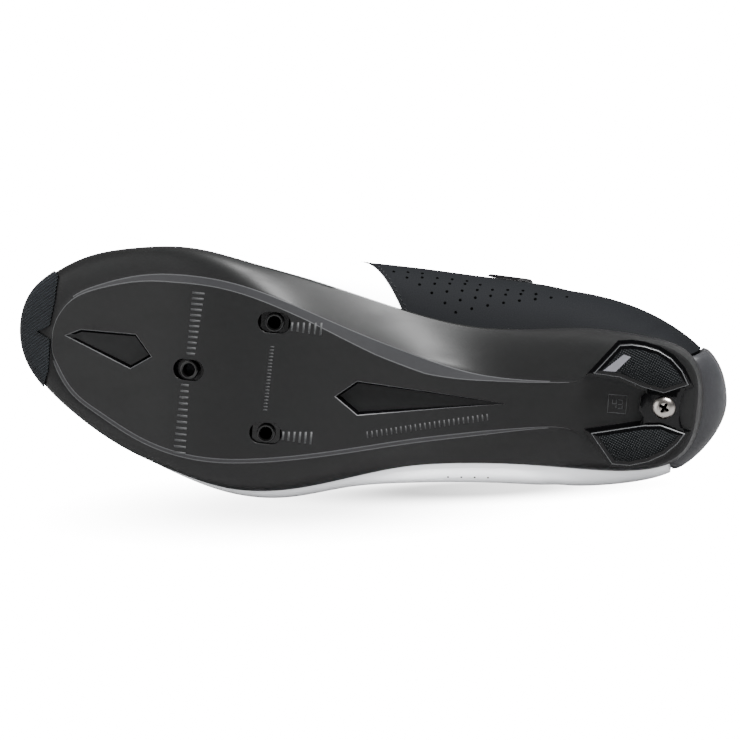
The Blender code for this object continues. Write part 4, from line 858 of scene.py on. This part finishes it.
HEEL_SEAT_Z = 5.0
SEAT_PLAN = ((11.0, 0.0), (15.5, 14.0), (24.0, 23.0), (36.0, 27.0), (48.0, 26.0), (57.5, 13.0), (56.0, 0.0),
             (57.0, -14.0), (47.0, -26.5), (36.0, -26.5), (24.0, -22.0), (15.0, -14.0))
TOE_PAD_PLAN = ((300.0, 34.0), (277.0, 34.0), (271.8, 29.0), (272.4, 18.9), (273.8, 8.8), (278.8, 5.9),
                (273.4, 3.1), (273.2, -0.8), (273.0, -10.0), (275.6, -20.0), (300.0, -20.0))


def toe_plane(x):
    """Just under the sole's top edge near the toe."""
    return 25.4 + (x - 260.3) * 0.338 - 1.2


sole = sole_solid("sole_plate", 0.0, look=PLATE, painted_looks=(BEVEL, EDGE_HIGHLIGHT))
cutters = [slot_cutter(place) for place in NUTS.values()]
cutters.append(vent_cutter("toe_vent", TOE_VENT, 3.2, 3))
cutters.append(vent_cutter("mid_vent", MID_VENT, 4.2, 0))
cutters.append(prism("seat", SEAT_PLAN, lambda p: -10.0, lambda p: HEEL_SEAT_Z))
step_plan = [(x - 0.35 if x < 290 else x, y) for x, y in TOE_PAD_PLAN]
toe_step = sole_solid("toe_step", 3.0, half=90)
combine(toe_step, [prism("plan", dense(step_plan), lambda p: -1.0, lambda p: toe_plane(p[0]) + 0.35)], "INTERSECT")
combine(toe_step, [sole_solid("inside", -1.55, half=90)], "DIFFERENCE")
cutters.append(toe_step)
combine(sole, cutters, "DIFFERENCE")
sole.data.materials.append(VENT_FLOOR)
looks = list(sole.data.materials)
plain, highlight_look, shade_look, floor_look = (looks.index(m) for m in (PLATE, EDGE_HIGHLIGHT, VENT_WALL_SHADE, VENT_FLOOR))
# Slot walls keep their painted shade and their chamfers go back to the plate; vent faces near the bottom become
# painted highlight rims, flat vent floors get the floor colour, and the other vent walls keep their painted shade.
for face in sole.data.polygons:
    steep = abs(face.normal.z)
    deep = face.center.z - float(bottom_z(face.center.x))
    if looks[face.material_index] == HOLE_SHADE and 0.35 < steep < 0.92:
        face.material_index = plain
    elif face.material_index == shade_look and deep < 0.25:
        face.material_index = highlight_look
    elif face.material_index == shade_look and steep >= 0.92:
        face.material_index = floor_look
print("sole plate", len(sole.data.polygons), "faces")
piece(sole, stands_for=["outsole"], angle=28.0)

# %% [markdown]
# ## Toe pad, heel pad and screw

# %%
toe_pad = sole_solid("toe_bumper", 1.0, half=110, look=TOE_RUBBER)
combine(toe_pad, [prism("plan", dense(TOE_PAD_PLAN), lambda p: 0.0, lambda p: toe_plane(p[0]))], "INTERSECT")
combine(toe_pad, [sole_solid("inside", -1.2, half=110)], "DIFFERENCE")
piece(toe_pad, stands_for=["toe_pad"], angle=40.0)

HEEL_WING_MEDIAL = ((54.6, 10.6), (45.0, 23.0), (40.2, 23.7), (35.4, 23.4), (29.6, 22.2), (24.1, 19.4),
                    (19.6, 15.0), (16.4, 9.4), (26.0, 5.3), (34.4, 6.8), (43.7, 9.9))
HEEL_WING_LATERAL = ((53.6, -12.6), (33.1, -7.6), (26.1, -6.9), (16.1, -9.6), (19.0, -14.2), (23.4, -18.6),
                     (29.6, -22.2), (36.9, -24.4), (43.9, -24.4))
HEEL_WEB = ((17.2, 9.4), (26.5, 9.5), (35.6, 9.2), (33.0, 4.6), (35.2, 2.6), (35.4, -2.4), (33.4, -4.6),
            (34.6, -9.6), (26.1, -9.8), (16.4, -9.8), (18.6, -5.0), (19.4, 0.0), (18.8, 4.8))
SCREW = (25.5, -0.3)
# Painted reflection: a light grey plate on the facet at the front of the medial wing
FACET_PLAN = ((50.6, 12.2), (45.6, 12.3), (40.2, 18.6), (43.0, 19.3))
MOAT_WIDTH = 1.3
CHECKER_INSET = 1.9
WING_RIM = 1.1
PAD_POINT_STEP = 1.5


def rim_loops(plan, rim, height=lambda p, z: z):
    """Closed loops round a plan: one for each (outward distance, z) row."""
    outlines = same_count(plan, [offset_plan(plan, d) for d, _ in rim], PAD_POINT_STEP)[1:]
    return [[(p[0], p[1], height(p, z)) for p in points] for points, (_, z) in zip(outlines, rim)]


def wing(name, plan, seat, face, width, look):
    """A raised pad with a rounded rim: outline loops from its seat to its face."""
    rim = [(0.0, seat), (0.0, face + width * 0.75), (-width * 0.18, face + width * 0.35),
           (-width * 0.5, face + width * 0.10), (-width, face)]
    loops = rim_loops(plan, rim)
    made = stack(name, loops, look)
    # One ring of the rounded rim gets the painted highlight.
    made.data.materials.append(EDGE_HIGHLIGHT)
    around = len(loops[0])
    for face in list(made.data.polygons)[2 * around:3 * around]:
        face.material_index = 1
    return outward(made)


def checker_plate(name, plan, face, look):
    """The textured plate on a wing, inside its gloss rim."""
    rim = ((-CHECKER_INSET, face + 0.4), (-CHECKER_INSET, face - 0.12), (-CHECKER_INSET - 0.25, face - 0.25))
    return outward(stack(name, rim_loops(plan, rim), look))


def moat(name, plan):
    """The gloss border on the sole round a pad: a low plate a little wider than it."""
    rim = ((MOAT_WIDTH, -0.9), (MOAT_WIDTH, 0.04), (MOAT_WIDTH - 0.3, 0.16))
    loops = rim_loops(plan, rim, lambda p, drop: min(HEEL_SEAT_Z, float(bottom_z(p[0]))) - drop)
    return piece(outward(stack(name, loops, GLOSS)), angle=30.0)


seat = HEEL_SEAT_Z - 0.35
heel_pad = prism("heel_pad_web", dense(HEEL_WEB), lambda p: 2.6, lambda p: seat)
heel_pad.data.materials.append(GLOSS)
bevel(heel_pad, 0.5, 2)
hole = lathe("hole", ((2.7, -4.0), (2.7, 20.0)), 32)
hole.data.transform(Matrix.Translation((SCREW[0], SCREW[1], 0.0)))
combine(heel_pad, [hole], "DIFFERENCE")
piece(heel_pad, stands_for=["heel_pad"], angle=30.0)
for side, plan in (("medial", HEEL_WING_MEDIAL), ("lateral", HEEL_WING_LATERAL)):
    piece(wing("heel_wing_" + side, plan, seat, 0.0, WING_RIM, GLOSS), angle=30.0)
    piece(checker_plate("heel_checker_" + side, plan, 0.0, CHECKER), angle=30.0)
    moat("heel_moat_" + side, plan)
# A thin light grey plate: painted reflection on the wing's facet.
facet = outward(stack("heel_facet", [[(x, y, z) for x, y in FACET_PLAN] for z in (0.3, -0.32)], FACET_REFLECTION))
piece(facet, angle=30.0)

face = 2.6 - GAP
head = [(2.2, -2.05), (3.2, -1.7), (4.0, -1.1), (4.45, -0.45), (4.55, 0.0), (2.3, 0.0), (2.3, 6.2)]
screw = lathe("screw_head", [(r, face + z) for r, z in head], 48, STEEL)
screw.data.transform(Matrix.Translation((SCREW[0], SCREW[1], 0.0)))
outward(screw)
# The cross is cut with arms of painted shade, so its walls come out black.
for turn in (0.0, math.pi / 2):
    arm = stack("arm", [[(x * s, y * s, z) for x, y in oblong_plan(4.9, 1.3, 6)]
                        for z, s in ((face - 3.0, 1.0), (face - 0.6, 0.75))], HOLE_SHADE)
    outward(arm)
    arm.data.transform(Matrix.Translation((SCREW[0], SCREW[1], 0.0)) @ Matrix.Rotation(turn + 0.5, 4, "Z"))
    combine(screw, [arm], "DIFFERENCE")
bevel(screw, 0.12, 2, 50.0)
piece(screw, stands_for=["heel_screw"], angle=40.0)
print("pads and screw made")

# %% [markdown]
# ## Cleat nuts
# Each nut is a turned ring with a rounded lip over its flange. It rides on its own body, so that it slides
# with the CAD nut.

# %%
SIDES = 48
RING = [(2.5, 3.4), (2.5, 0.95), (2.65, 0.62), (2.95, 0.5), (3.35, 0.5), (3.65, 0.62), (3.8, 0.95), (3.8, 3.4)]
for name, place in NUTS.items():
    faces = []
    for r in range(len(RING)):
        s, t = r * SIDES, ((r + 1) % len(RING)) * SIDES
        faces += [(s + k, s + (k + 1) % SIDES, t + (k + 1) % SIDES, t + k) for k in range(SIDES)]
    nut = outward(mesh_object("nut_ring_" + name, turned(RING, SIDES), faces, BLACK_STEEL))
    flange = stack("nut_flange", [[(x, y, z) for x, y in ((-5.5, -6.7), (5.5, -6.7), (5.5, 6.7), (-5.5, 6.7))]
                                  for z in (2.5, 4.1)])
    outward(flange)
    bore = lathe("bore", ((2.52, -2.0), (2.52, 12.0)), SIDES)
    outward(bore)
    combine(flange, [bore], "DIFFERENCE")
    combine(nut, [flange], "UNION")
    nut.data.transform(slot_frame(place))
    piece(nut, body="nut_" + name, stands_for=["cleat_nut_" + name], angle=40.0)
    # A sheet of painted shade at the back of the slot, behind the nut.
    slot_shade_sheet = stack("slot_floor_" + name, [[(x, y, z) for x, y in oblong_plan(16.0, 13.0)] for z in (6.6, 6.8)],
                        HOLE_SHADE)
    outward(slot_shade_sheet)
    slot_shade_sheet.data.transform(slot_frame(place))
    piece(slot_shade_sheet)
print("nuts made")

# %% [markdown]
# ## Tick marks and plain prints
# The front slot has rows of short dashes on both sides, the rear slots have one row each. Where the real
# sole has lettering, there are plain dim bars.

# %%


def on_sole(x, y, turn=0.0, size=(1.0, 1.0, 1.0)):
    """A place on the sole's flat, its z out of the sole."""
    slope = math.atan2(float(bottom_z(x + 1.0) - bottom_z(x - 1.0)), 2.0)
    normal = Vector((math.sin(slope), 0.0, -math.cos(slope)))
    base = frame_at((x, y, float(bottom_z(x))), normal, (math.cos(turn), math.sin(turn), 0.0))
    return base @ Matrix.Diagonal((*size, 1.0))


def dash_shape():
    """A dash 1 mm long and 1 mm wide, 0.06 mm proud, to be scaled."""
    loops = [[(x, y, z) for x, y in ((-0.5, -0.5), (0.5, -0.5), (0.5, 0.5), (-0.5, 0.5))] for z in (-0.05, 0.06)]
    return outward(stack("dash", loops))


TICK_ROWS = (
    # first x, first y, last x, last y, count, first length, last length, along y
    (212.2, 28.6, 213.4, 4.4, 12, 5.2, 3.6, False),
    (214.8, -8.3, 215.0, -35.4, 12, 3.4, 5.4, False),
    (173.8, 18.9, 162.4, 18.9, 6, 3.4, 5.0, True),
    (173.9, -24.5, 162.9, -24.5, 6, 3.4, 5.0, True),
)
ticks = []
for x0, y0, x1, y1, count, l0, l1, along_y in TICK_ROWS:
    for k in range(count):
        t = k / (count - 1)
        turn = math.pi / 2 if along_y else 0.0
        ticks.append(on_sole(x0 + (x1 - x0) * t, y0 + (y1 - y0) * t, turn, (l0 + (l1 - l0) * t, 0.85, 1.0)))
piece(scatter("tick_marks", ticks, dash_shape(), TICK), angle=0)

bars = []
for k in range(20):
    t = k / 19
    bars.append(on_sole(181.0 + 0.8 * t, 10.3 - 25.2 * t, 0.0, (1.7, 0.55, 0.6)))
for k in range(26):
    t = k / 25
    bars.append(on_sole(141.0 - 46.5 * t, -21.6 + 10.5 * t, math.pi / 2 - 0.22, (2.6, 0.6, 0.4)))
piece(scatter("plain_bars", bars, dash_shape(), DIM_PRINT), angle=0)

EMBLEM = (43.8, -0.8)
frame_bars = []
for dx, dy, turn in ((3.58, 0, math.pi / 2), (-3.58, 0, math.pi / 2), (0, 3.58, 0.0), (0, -3.58, 0.0)):
    frame_bars.append(on_sole(EMBLEM[0] + dx, EMBLEM[1] + dy, turn, (7.45, 0.3, 0.8)))
# The size number 43, a stroke per row: right and up from the emblem's middle, upright or not
NUMBER_STROKES = ((-2.0, 0.85, True), (-1.2, 0.0, False), (-0.4, 0.85, True), (-0.4, -0.85, True),
                  (1.2, 1.7, False), (1.2, 0.0, False), (1.2, -1.7, False), (2.0, 0.85, True), (2.0, -0.85, True))
for right_by, up_by, upright in NUMBER_STROKES:
    frame_bars.append(on_sole(EMBLEM[0] - right_by, EMBLEM[1] + up_by, math.pi / 2 if upright else 0.0,
                              (1.8, 0.32, 0.8)))
piece(scatter("size_box", frame_bars, dash_shape(), TICK), angle=0)
print(len(ticks), "ticks,", len(bars), "bars")

# %% [markdown]
# ## The upper
# A fine skin on the last's surface. Soft creases are placed one by one, each a trough or a ridge with a place,
# a direction and a width. The dark quarter's edge is an attribute, in millimetres from the seam.

# %%
UPPER_COLUMNS = 420
LOW_ROWS = np.linspace(0.0, 1.0, 15)[:-1]
HIGH_ROWS = 1.0 + np.array([0.0, 0.05, 0.10, 0.15, 0.20, 0.25, 0.30, 0.35, 0.40, 0.45, 0.50, 0.545, COUNTER_TOP,
                            0.5925, 0.605, 0.64, 0.68, 0.72, 0.76, 0.80, 0.84, 0.88, 0.91, 0.94, 0.965, 0.985, 1.0])
ROWS = np.concatenate([LOW_ROWS, HIGH_ROWS])


def upper_columns():
    even = (np.arange(UPPER_COLUMNS) + 0.5) / UPPER_COLUMNS
    pairs = [COUNTER_MEDIAL, COUNTER_MEDIAL + 0.0018, 1 - COUNTER_LATERAL, 1 - COUNTER_LATERAL - 0.0018]
    keep = [v for v in even if min(abs(v - p) for p in pairs) > 0.0012]
    return np.array(sorted(keep + pairs))


U = upper_columns()
GRID = upper_surface(U, ROWS)
NORMALS = grid_normals(GRID)
SIGNED_U = (U + 0.5) % 1.0 - 0.5

# Soft creases. Columns: side, x, height share, half length, half width, depth (+ ridge), slant
CREASES = (
    ("medial", 214.0, 1.62, 16.0, 4.5, -0.45, 0.30),
    ("medial", 226.0, 1.66, 14.0, 4.0, -0.35, 0.25),
    ("medial", 220.0, 1.64, 15.0, 3.6, 0.25, 0.28),
    ("lateral", 220.0, 1.60, 16.0, 4.5, -0.45, -0.25),
    ("lateral", 231.0, 1.64, 13.0, 4.0, -0.30, -0.20),
    ("medial", 62.0, 0.55, 14.0, 3.2, 0.35, 0.9),
    ("medial", 70.0, 0.95, 18.0, 4.5, -0.40, 0.9),
    ("lateral", 66.0, 0.80, 16.0, 4.0, -0.35, -0.8),
    ("medial", 27.0, 0.55, 9.0, 1.6, -0.5, 0.5),
    ("medial", 32.0, 0.45, 8.0, 1.4, 0.4, 0.7),
    ("medial", 36.0, 0.60, 9.0, 1.8, -0.4, 0.6),
)


def knot_parameter(side, x):
    """The parameter on a side where the sections' widest x has a value."""
    table = UPPER_TABLE[:, 0]
    top = len(UPPER_MEDIAL) + 2
    if side == "medial":
        return float(np.interp(x, table[:top], KNOTS[:top]))
    order = list(range(len(table) - 1, top - 2, -1))
    return float(np.interp(x, table[order], KNOTS[order]))


def upper_at(u, row):
    """Point, outward normal and direction along, on the fine upper."""
    grid = upper_surface(np.array([u - 0.002, u, u + 0.002]), [max(row - 0.02, 0.0), row, min(row + 0.02, 2.0)])
    along = Vector(grid[2, 1] - grid[0, 1]).normalized()
    rise = Vector(grid[1, 2] - grid[1, 0]).normalized()
    return Vector(grid[1, 1]), rise.cross(along).normalized(), along


def crease_field(grid):
    """Height of all creases over the plain surface."""
    total = np.zeros(grid.shape[:2])
    for side, x, row, half_length, half_width, depth, slant in CREASES:
        place, normal, along = upper_at(knot_parameter(side, x), row)
        across = normal.cross(along)
        line = np.array((across + along * slant).normalized())
        other = np.array(normal.cross(Vector(line)).normalized())
        offset = grid - np.array(place)
        s, d = offset @ line, offset @ other
        depth_off = np.abs(offset @ np.array(normal))
        total += depth * np.exp(-(d / half_width) ** 2) * np.exp(-(s / half_length) ** 4) * (depth_off < 25.0)
    return total


# The dark quarter's front edge. Columns: row of the upper, x, and the share of x that counts across the edge
QUARTER_EDGE = np.array(((0.0, 132.0, 0.80), (0.5, 141.0, 0.80), (1.0, 150.0, 0.78), (1.25, 158.0, 0.70),
                         (1.5, 163.0, 0.75), (2.0, 152.0, 0.9)))
LATERAL_IS_WHITE = -6.0


def panel_field(grid):
    """Millimetres inside the dark quarter's front edge: positive on the dark side."""
    rows, edge_x, across = QUARTER_EDGE.T
    at = np.interp(ROWS, rows, edge_x)
    slope = np.interp(ROWS, rows, across)
    inside = (at[None, :] - grid[:, :, 0]) * slope[None, :]
    return np.where(SIGNED_U[:, None] > 0, inside, LATERAL_IS_WHITE)


def counter_mask():
    column = (SIGNED_U <= COUNTER_MEDIAL + 1e-9) & (SIGNED_U >= -COUNTER_LATERAL - 1e-9)
    row = ROWS <= 1.0 + COUNTER_TOP + 1e-9
    return column[:, None] & row[None, :]


COUNTER_STEP = 1.9
COUNTER_FLARE = 1.8
mask = counter_mask()
field = crease_field(GRID)
quarter = panel_field(GRID)
outer = GRID - NORMALS * (np.where(mask, COUNTER_STEP, 0.0) - np.where(mask, 0.0, field))[:, :, None]
ring_rows = len(ROWS)
heelward = 1.0 - smooth(0.10, 0.16, np.abs(SIGNED_U))
padded = smooth(1.6, 2.0, ROWS)[None, :] * heelward[:, None]
thickness = 1.8 + 1.0 * padded
inner_rows = [0, 7, 14, 18, 22, 26, 28, 31, 34, 36, 38, 40]
inner = (GRID - NORMALS * (thickness + np.where(mask, COUNTER_STEP * 0.72, 0.0))[:, :, None])[:, inner_rows]
lip = (outer[:, -1] + inner[:, -1]) / 2
climb = outer[:, -1] - outer[:, -2]
climb /= np.linalg.norm(climb, axis=1)[:, None]
lip = lip + climb * 0.30 * np.linalg.norm(outer[:, -1] - inner[:, -1], axis=1)[:, None]
quarter_lip = outer[:, -1] * 0.5 + lip * 0.5 + climb * 0.2 + (outer[:, -1] - lip) * 0.15
inner_lip = inner[:, -1] * 0.5 + lip * 0.5 + climb * 0.2 + (inner[:, -1] - lip) * 0.15
outer = np.concatenate([outer, quarter_lip[:, None], lip[:, None], inner_lip[:, None], inner[:, ::-1]], axis=1)
columns, rows = outer.shape[:2]
verts = outer.reshape(-1, 3)
faces, face_looks = [], []
for j in range(columns):
    n = (j + 1) % columns
    for i in range(rows):
        k = (i + 1) % rows
        faces.append((j * rows + i, n * rows + i, n * rows + k, j * rows + k))
        face_looks.append(0 if i < ring_rows + 1 else 1)
upper = mesh_object("upper_skin", verts, faces, UPPER_SKIN)
upper.data.materials.append(LINING)
upper.data.polygons.foreach_set("material_index", np.array(face_looks, np.int32))
panel = upper.data.attributes.new("panel", "FLOAT", "POINT")
values = np.full((columns, rows), 4.0)
values[:, :ring_rows] = quarter
values[:, ring_rows:ring_rows + 3] = quarter[:, -1:]
panel.data.foreach_set("value", values.astype(np.float32).ravel())
outward(upper, 1e-6)
UPPER_TREE = BVHTree.FromPolygons([Vector(v) for v in GRID.reshape(-1, 3)],
                                  [(j * len(ROWS) + i, ((j + 1) % columns) * len(ROWS) + i,
                                    ((j + 1) % columns) * len(ROWS) + i + 1, j * len(ROWS) + i + 1)
                                   for j in range(columns) for i in range(len(ROWS) - 1)])
print("upper", len(upper.data.polygons), "faces")
piece(upper, stands_for=["upper"], angle=50.0)

# %% [markdown]
# ## Perforations, pinholes and stitches
# The rows are read off the photo and cast onto the upper. Each hole is a small dark dish, painted shade standing in
# for the hole's depth.

# %%
HOLE_ROWS = (
    # first, middle and last hole in photo pixels, and how many: rows on the medial quarter
    ((393.8, 271.6), (408.0, 272.2), (422.4, 273.4), 3),
    ((407.0, 277.5), (437.3, 278.1), (467.0, 281.0), 5),
    ((419.6, 284.5), (449.8, 283.6), (480.2, 284.8), 5),
    ((431.8, 292.9), (477.3, 290.0), (523.0, 290.5), 7),
    ((445.0, 302.9), (490.5, 295.9), (536.0, 293.8), 7),
    ((455.7, 312.3), (511.5, 301.6), (566.8, 296.8), 8),
)
PINHOLE_ROWS = (((448.0, 477.0), (468.0, 477.2), (488.0, 477.6), 4),)


def cast(px, py):
    """The place on the upper behind a photo pixel, and its normal."""
    place, normal, _, _ = UPPER_TREE.ray_cast(EYE, ray(px, py))
    if place is not None and normal.dot(ray(px, py)) > 0:
        normal = -normal
    return place, normal


def holes(name, table, radius):
    places = []
    for first, middle, last, count in table:
        for k in range(count):
            t = k / (count - 1)
            weights = ((1 - t) * (1 - 2 * t), 4 * t * (1 - t), t * (2 * t - 1))
            px, py = (sum(w * p[i] for w, p in zip(weights, (first, middle, last))) for i in (0, 1))
            place, normal = cast(px, py)
            if place is not None:
                places.append(frame_at(place, normal, (1, 0, 0)) @ Matrix.Diagonal((radius, radius, 1.0, 1.0)))
    # Each dish is painted shade.
    shape = outward(lathe("dish", ((1.0, -0.3), (1.0, 0.04), (0.9, 0.06)), 16))
    return piece(scatter(name, places, shape, HOLE_SHADE), angle=0), places


_, found = holes("perforations", HOLE_ROWS, 0.62)
_, pins = holes("pinholes", PINHOLE_ROWS, 0.42)
print(len(found), "perforations and", len(pins), "pinholes")


def seam_points(offset, start, end, count):
    """Points along the quarter's front edge, a little inside it."""
    points = []
    parameters = np.linspace(0.10, 0.40, 160)
    for row in np.linspace(start, end, count):
        wanted = np.interp(row, QUARTER_EDGE[:, 0], QUARTER_EDGE[:, 1]) - offset
        line = upper_surface(parameters, [row])[:, 0]
        points.append((parameters[int(np.argmin(np.abs(line[:, 0] - wanted)))], row))
    return points


def stitch_row(name, points, look, length=1.5, step=2.4):
    """Stitches along a row of upper parameters, evenly spaced."""
    line = [upper_at(u, row) for u, row in points]
    spots = np.array([tuple(p) for p, _, _ in line])
    along = np.concatenate([[0.0], np.cumsum(np.linalg.norm(np.diff(spots, axis=0), axis=1))])
    places = []
    for s in np.arange(step / 2, along[-1], step):
        k = min(int(np.searchsorted(along, s)) - 1, len(line) - 2)
        t = (s - along[k]) / max(along[k + 1] - along[k], 1e-6)
        spot = spots[k] * (1 - t) + spots[k + 1] * t
        normal = line[k][1].lerp(line[k + 1][1], t)
        places.append(frame_at(Vector(spot) + normal * 0.05, normal, spots[k + 1] - spots[k])
                      @ Matrix.Diagonal((length, 0.42, 0.42, 1.0)))
    shape = lathe("stitch", ((0.12, -0.5), (0.36, -0.42), (0.5, -0.2), (0.5, 0.2), (0.36, 0.42), (0.12, 0.5)), 8)
    shape.data.transform(Matrix.Rotation(math.pi / 2, 4, "Y"))
    outward(shape)
    return piece(scatter(name, places, shape, look), angle=0)


stitch_row("quarter_stitches", seam_points(2.2, 0.03, 1.97, 80), THREAD)
print("stitches made")

# %% [markdown]
# ## Heel counter
# A smooth moulded cup over the back of the upper.

# %%
order = np.argsort(SIGNED_U)
chosen = [j for j in order if -COUNTER_LATERAL - 1e-9 <= SIGNED_U[j] <= COUNTER_MEDIAL + 1e-9]
counter_rows = np.where(ROWS <= 1.0 + COUNTER_TOP + 1e-9)[0]
patch = GRID[np.ix_(chosen, counter_rows)]
patch_normals = NORMALS[np.ix_(chosen, counter_rows)]
count_c, count_r = patch.shape[:2]
from_side = np.minimum(np.arange(count_c), count_c - 1 - np.arange(count_c))[:, None] * 1.6
from_top = (count_r - 1 - np.arange(count_r))[None, :] * 1.8
near = np.minimum(from_side, from_top)
rounding = 0.9 * np.exp(-(near / 1.0) ** 1.2)
rise = np.minimum(ROWS[counter_rows] / 0.68, 1.0)
flare = COUNTER_FLARE * np.outer(smooth(0.006, 0.030, SIGNED_U[chosen]), rise)
shell = patch + patch_normals * (flare - rounding)[:, :, None]
inside = patch - patch_normals * 1.6
verts = list(shell.reshape(-1, 3)) + list(inside.reshape(-1, 3))
base = count_c * count_r
faces = []
for j in range(count_c - 1):
    for i in range(count_r - 1):
        a, b, c, d = j * count_r + i, (j + 1) * count_r + i, (j + 1) * count_r + i + 1, j * count_r + i + 1
        faces += [(a, b, c, d), (base + d, base + c, base + b, base + a)]
border = [j * count_r for j in range(count_c)] + [(count_c - 1) * count_r + i for i in range(1, count_r)]
border += [j * count_r + count_r - 1 for j in range(count_c - 2, -1, -1)] + list(range(count_r - 2, 0, -1))
for k, a in enumerate(border):
    b = border[(k + 1) % len(border)]
    faces.append((b, a, base + a, base + b))
piece(outward(mesh_object("counter_cup", verts, faces, COUNTER)), stands_for=["heel_counter"],
      angle=50.0)
print("counter made")

# %% [markdown]
# ## Plain finishes for the other pieces
# The tongue, insole, guides, dial and lace are seen from behind only. They keep the CAD shapes with smooth
# shading and their own materials.

# %%
FINISHES = {"tongue": CLOTH, "insole": LINING, "guide_medial_top": GUIDE, "guide_medial_front": GUIDE,
            "guide_lateral_mid": GUIDE, "guide_lateral_front": GUIDE, "medial_anchor": ANCHOR, "dial_base": DIAL,
            "dial_knob": DIAL, "lace": LACE}
for name, look in FINISHES.items():
    node = frame["nodes"][name]
    node.data.materials.clear()
    node.data.materials.append(look)
    node.data.shade_smooth()
    node.data.set_sharp_from_angle(angle=math.radians(40.0))
print(len(FINISHES), "CAD pieces finished")

# %% [markdown]
# ## Studio
# A white floor and wall, a soft key light from the upper right, a weak one from the left, and two lights
# that only the upper takes. The camera sees the floor and wall as bright paper with two soft painted shadows.

# %%


def stage_plane(name, corners, look):
    made = mesh_object(name, corners, [(0, 1, 2, 3)], look)
    return made


CAMERA_WHITE = 18.0
# Painted soft shadows on the floor. Columns: middle x and y, reach x and y in metres, where the fade starts, light
# kept
SHADOWS = (
    (-0.030, -0.060, 0.130, 0.110, 0.10, 0.30),
    (0.040, -0.036, 0.095, 0.042, 0.25, 0.15),
)


def studio_material():
    """Plain white that the camera sees as bright paper, with soft shadows painted where the shoe touches it."""
    made = bpy.data.materials.new("studio_white")
    made.use_nodes = True
    tree = made.node_tree
    tree.nodes.clear()
    place = add(tree, "ShaderNodeTexCoord").outputs["Object"]
    light = CAMERA_WHITE
    for x, y, reach_x, reach_y, start, keep in SHADOWS:
        squeeze = add(tree, "ShaderNodeMapping", {"Vector": place, "Location": (-x / reach_x, -y / reach_y, 0.0),
                                                  "Scale": (1 / reach_x, 1 / reach_y, 0.0)})
        distance = add(tree, "ShaderNodeVectorMath", {0: squeeze.outputs[0]}, operation="LENGTH")
        fade = add(tree, "ShaderNodeMapRange", {"Value": distance.outputs["Value"], "From Min": start,
                                                "From Max": 1.0, "To Min": keep}, interpolation_type="SMOOTHSTEP")
        light = math_node(tree, "MULTIPLY", fade.outputs[0], light)
    path = add(tree, "ShaderNodeLightPath")
    matte = add(tree, "ShaderNodeBsdfDiffuse", {"Color": (0.46, 0.46, 0.465, 1.0)})
    paper = add(tree, "ShaderNodeEmission", {"Strength": light})
    choose = add(tree, "ShaderNodeMixShader", {0: path.outputs["Is Camera Ray"], 1: matte.outputs[0],
                                               2: paper.outputs[0]})
    add(tree, "ShaderNodeOutputMaterial", {"Surface": choose.outputs[0]})
    return made


STUDIO = studio_material()
stage_plane("floor", ((-3, -3, 0), (3, -3, 0), (3, 2.5, 0), (-3, 2.5, 0)), STUDIO)
stage_plane("wall", ((-3, 2.5, 0), (3, 2.5, 0), (3, 2.5, 3), (-3, 2.5, 3)), STUDIO)

world = bpy.data.worlds.new("studio")
bpy.context.scene.world = world
world.use_nodes = True
tree = world.node_tree
tree.nodes.clear()
back = add(tree, "ShaderNodeBackground", {"Strength": 0.10})
add(tree, "ShaderNodeOutputWorld", {"Surface": back.outputs[0]})


def soft_sun(name, azimuth, elevation, angle, strength, only=()):
    """A distant soft box: its direction in degrees, azimuth 0 from the camera's side, and how wide it looks."""
    data = bpy.data.lights.new(name, "SUN")
    data.energy = strength
    data.angle = math.radians(angle)
    made = bpy.data.objects.new(name, data)
    bpy.context.scene.collection.objects.link(made)
    a, e = math.radians(azimuth), math.radians(elevation)
    toward = Vector((math.sin(a) * math.cos(e), -math.cos(a) * math.cos(e), math.sin(e)))
    made.rotation_euler = toward.to_track_quat("Z", "Y").to_euler()
    if only:
        lit = bpy.data.collections.new(name + "_lights")
        for each in only:
            lit.objects.link(each)
        made.light_linking.receiver_collection = lit
    return made


soft_sun("key", 66.0, 62.0, 30.0, 7.2)
soft_sun("side", -62.0, 14.0, 50.0, 0.9)
soft_sun("upper_top", 4.0, 66.0, 50.0, 62.0, [upper])
soft_sun("upper_bounce", 0.0, -25.0, 120.0, 14.0, [upper])
print("studio ready")
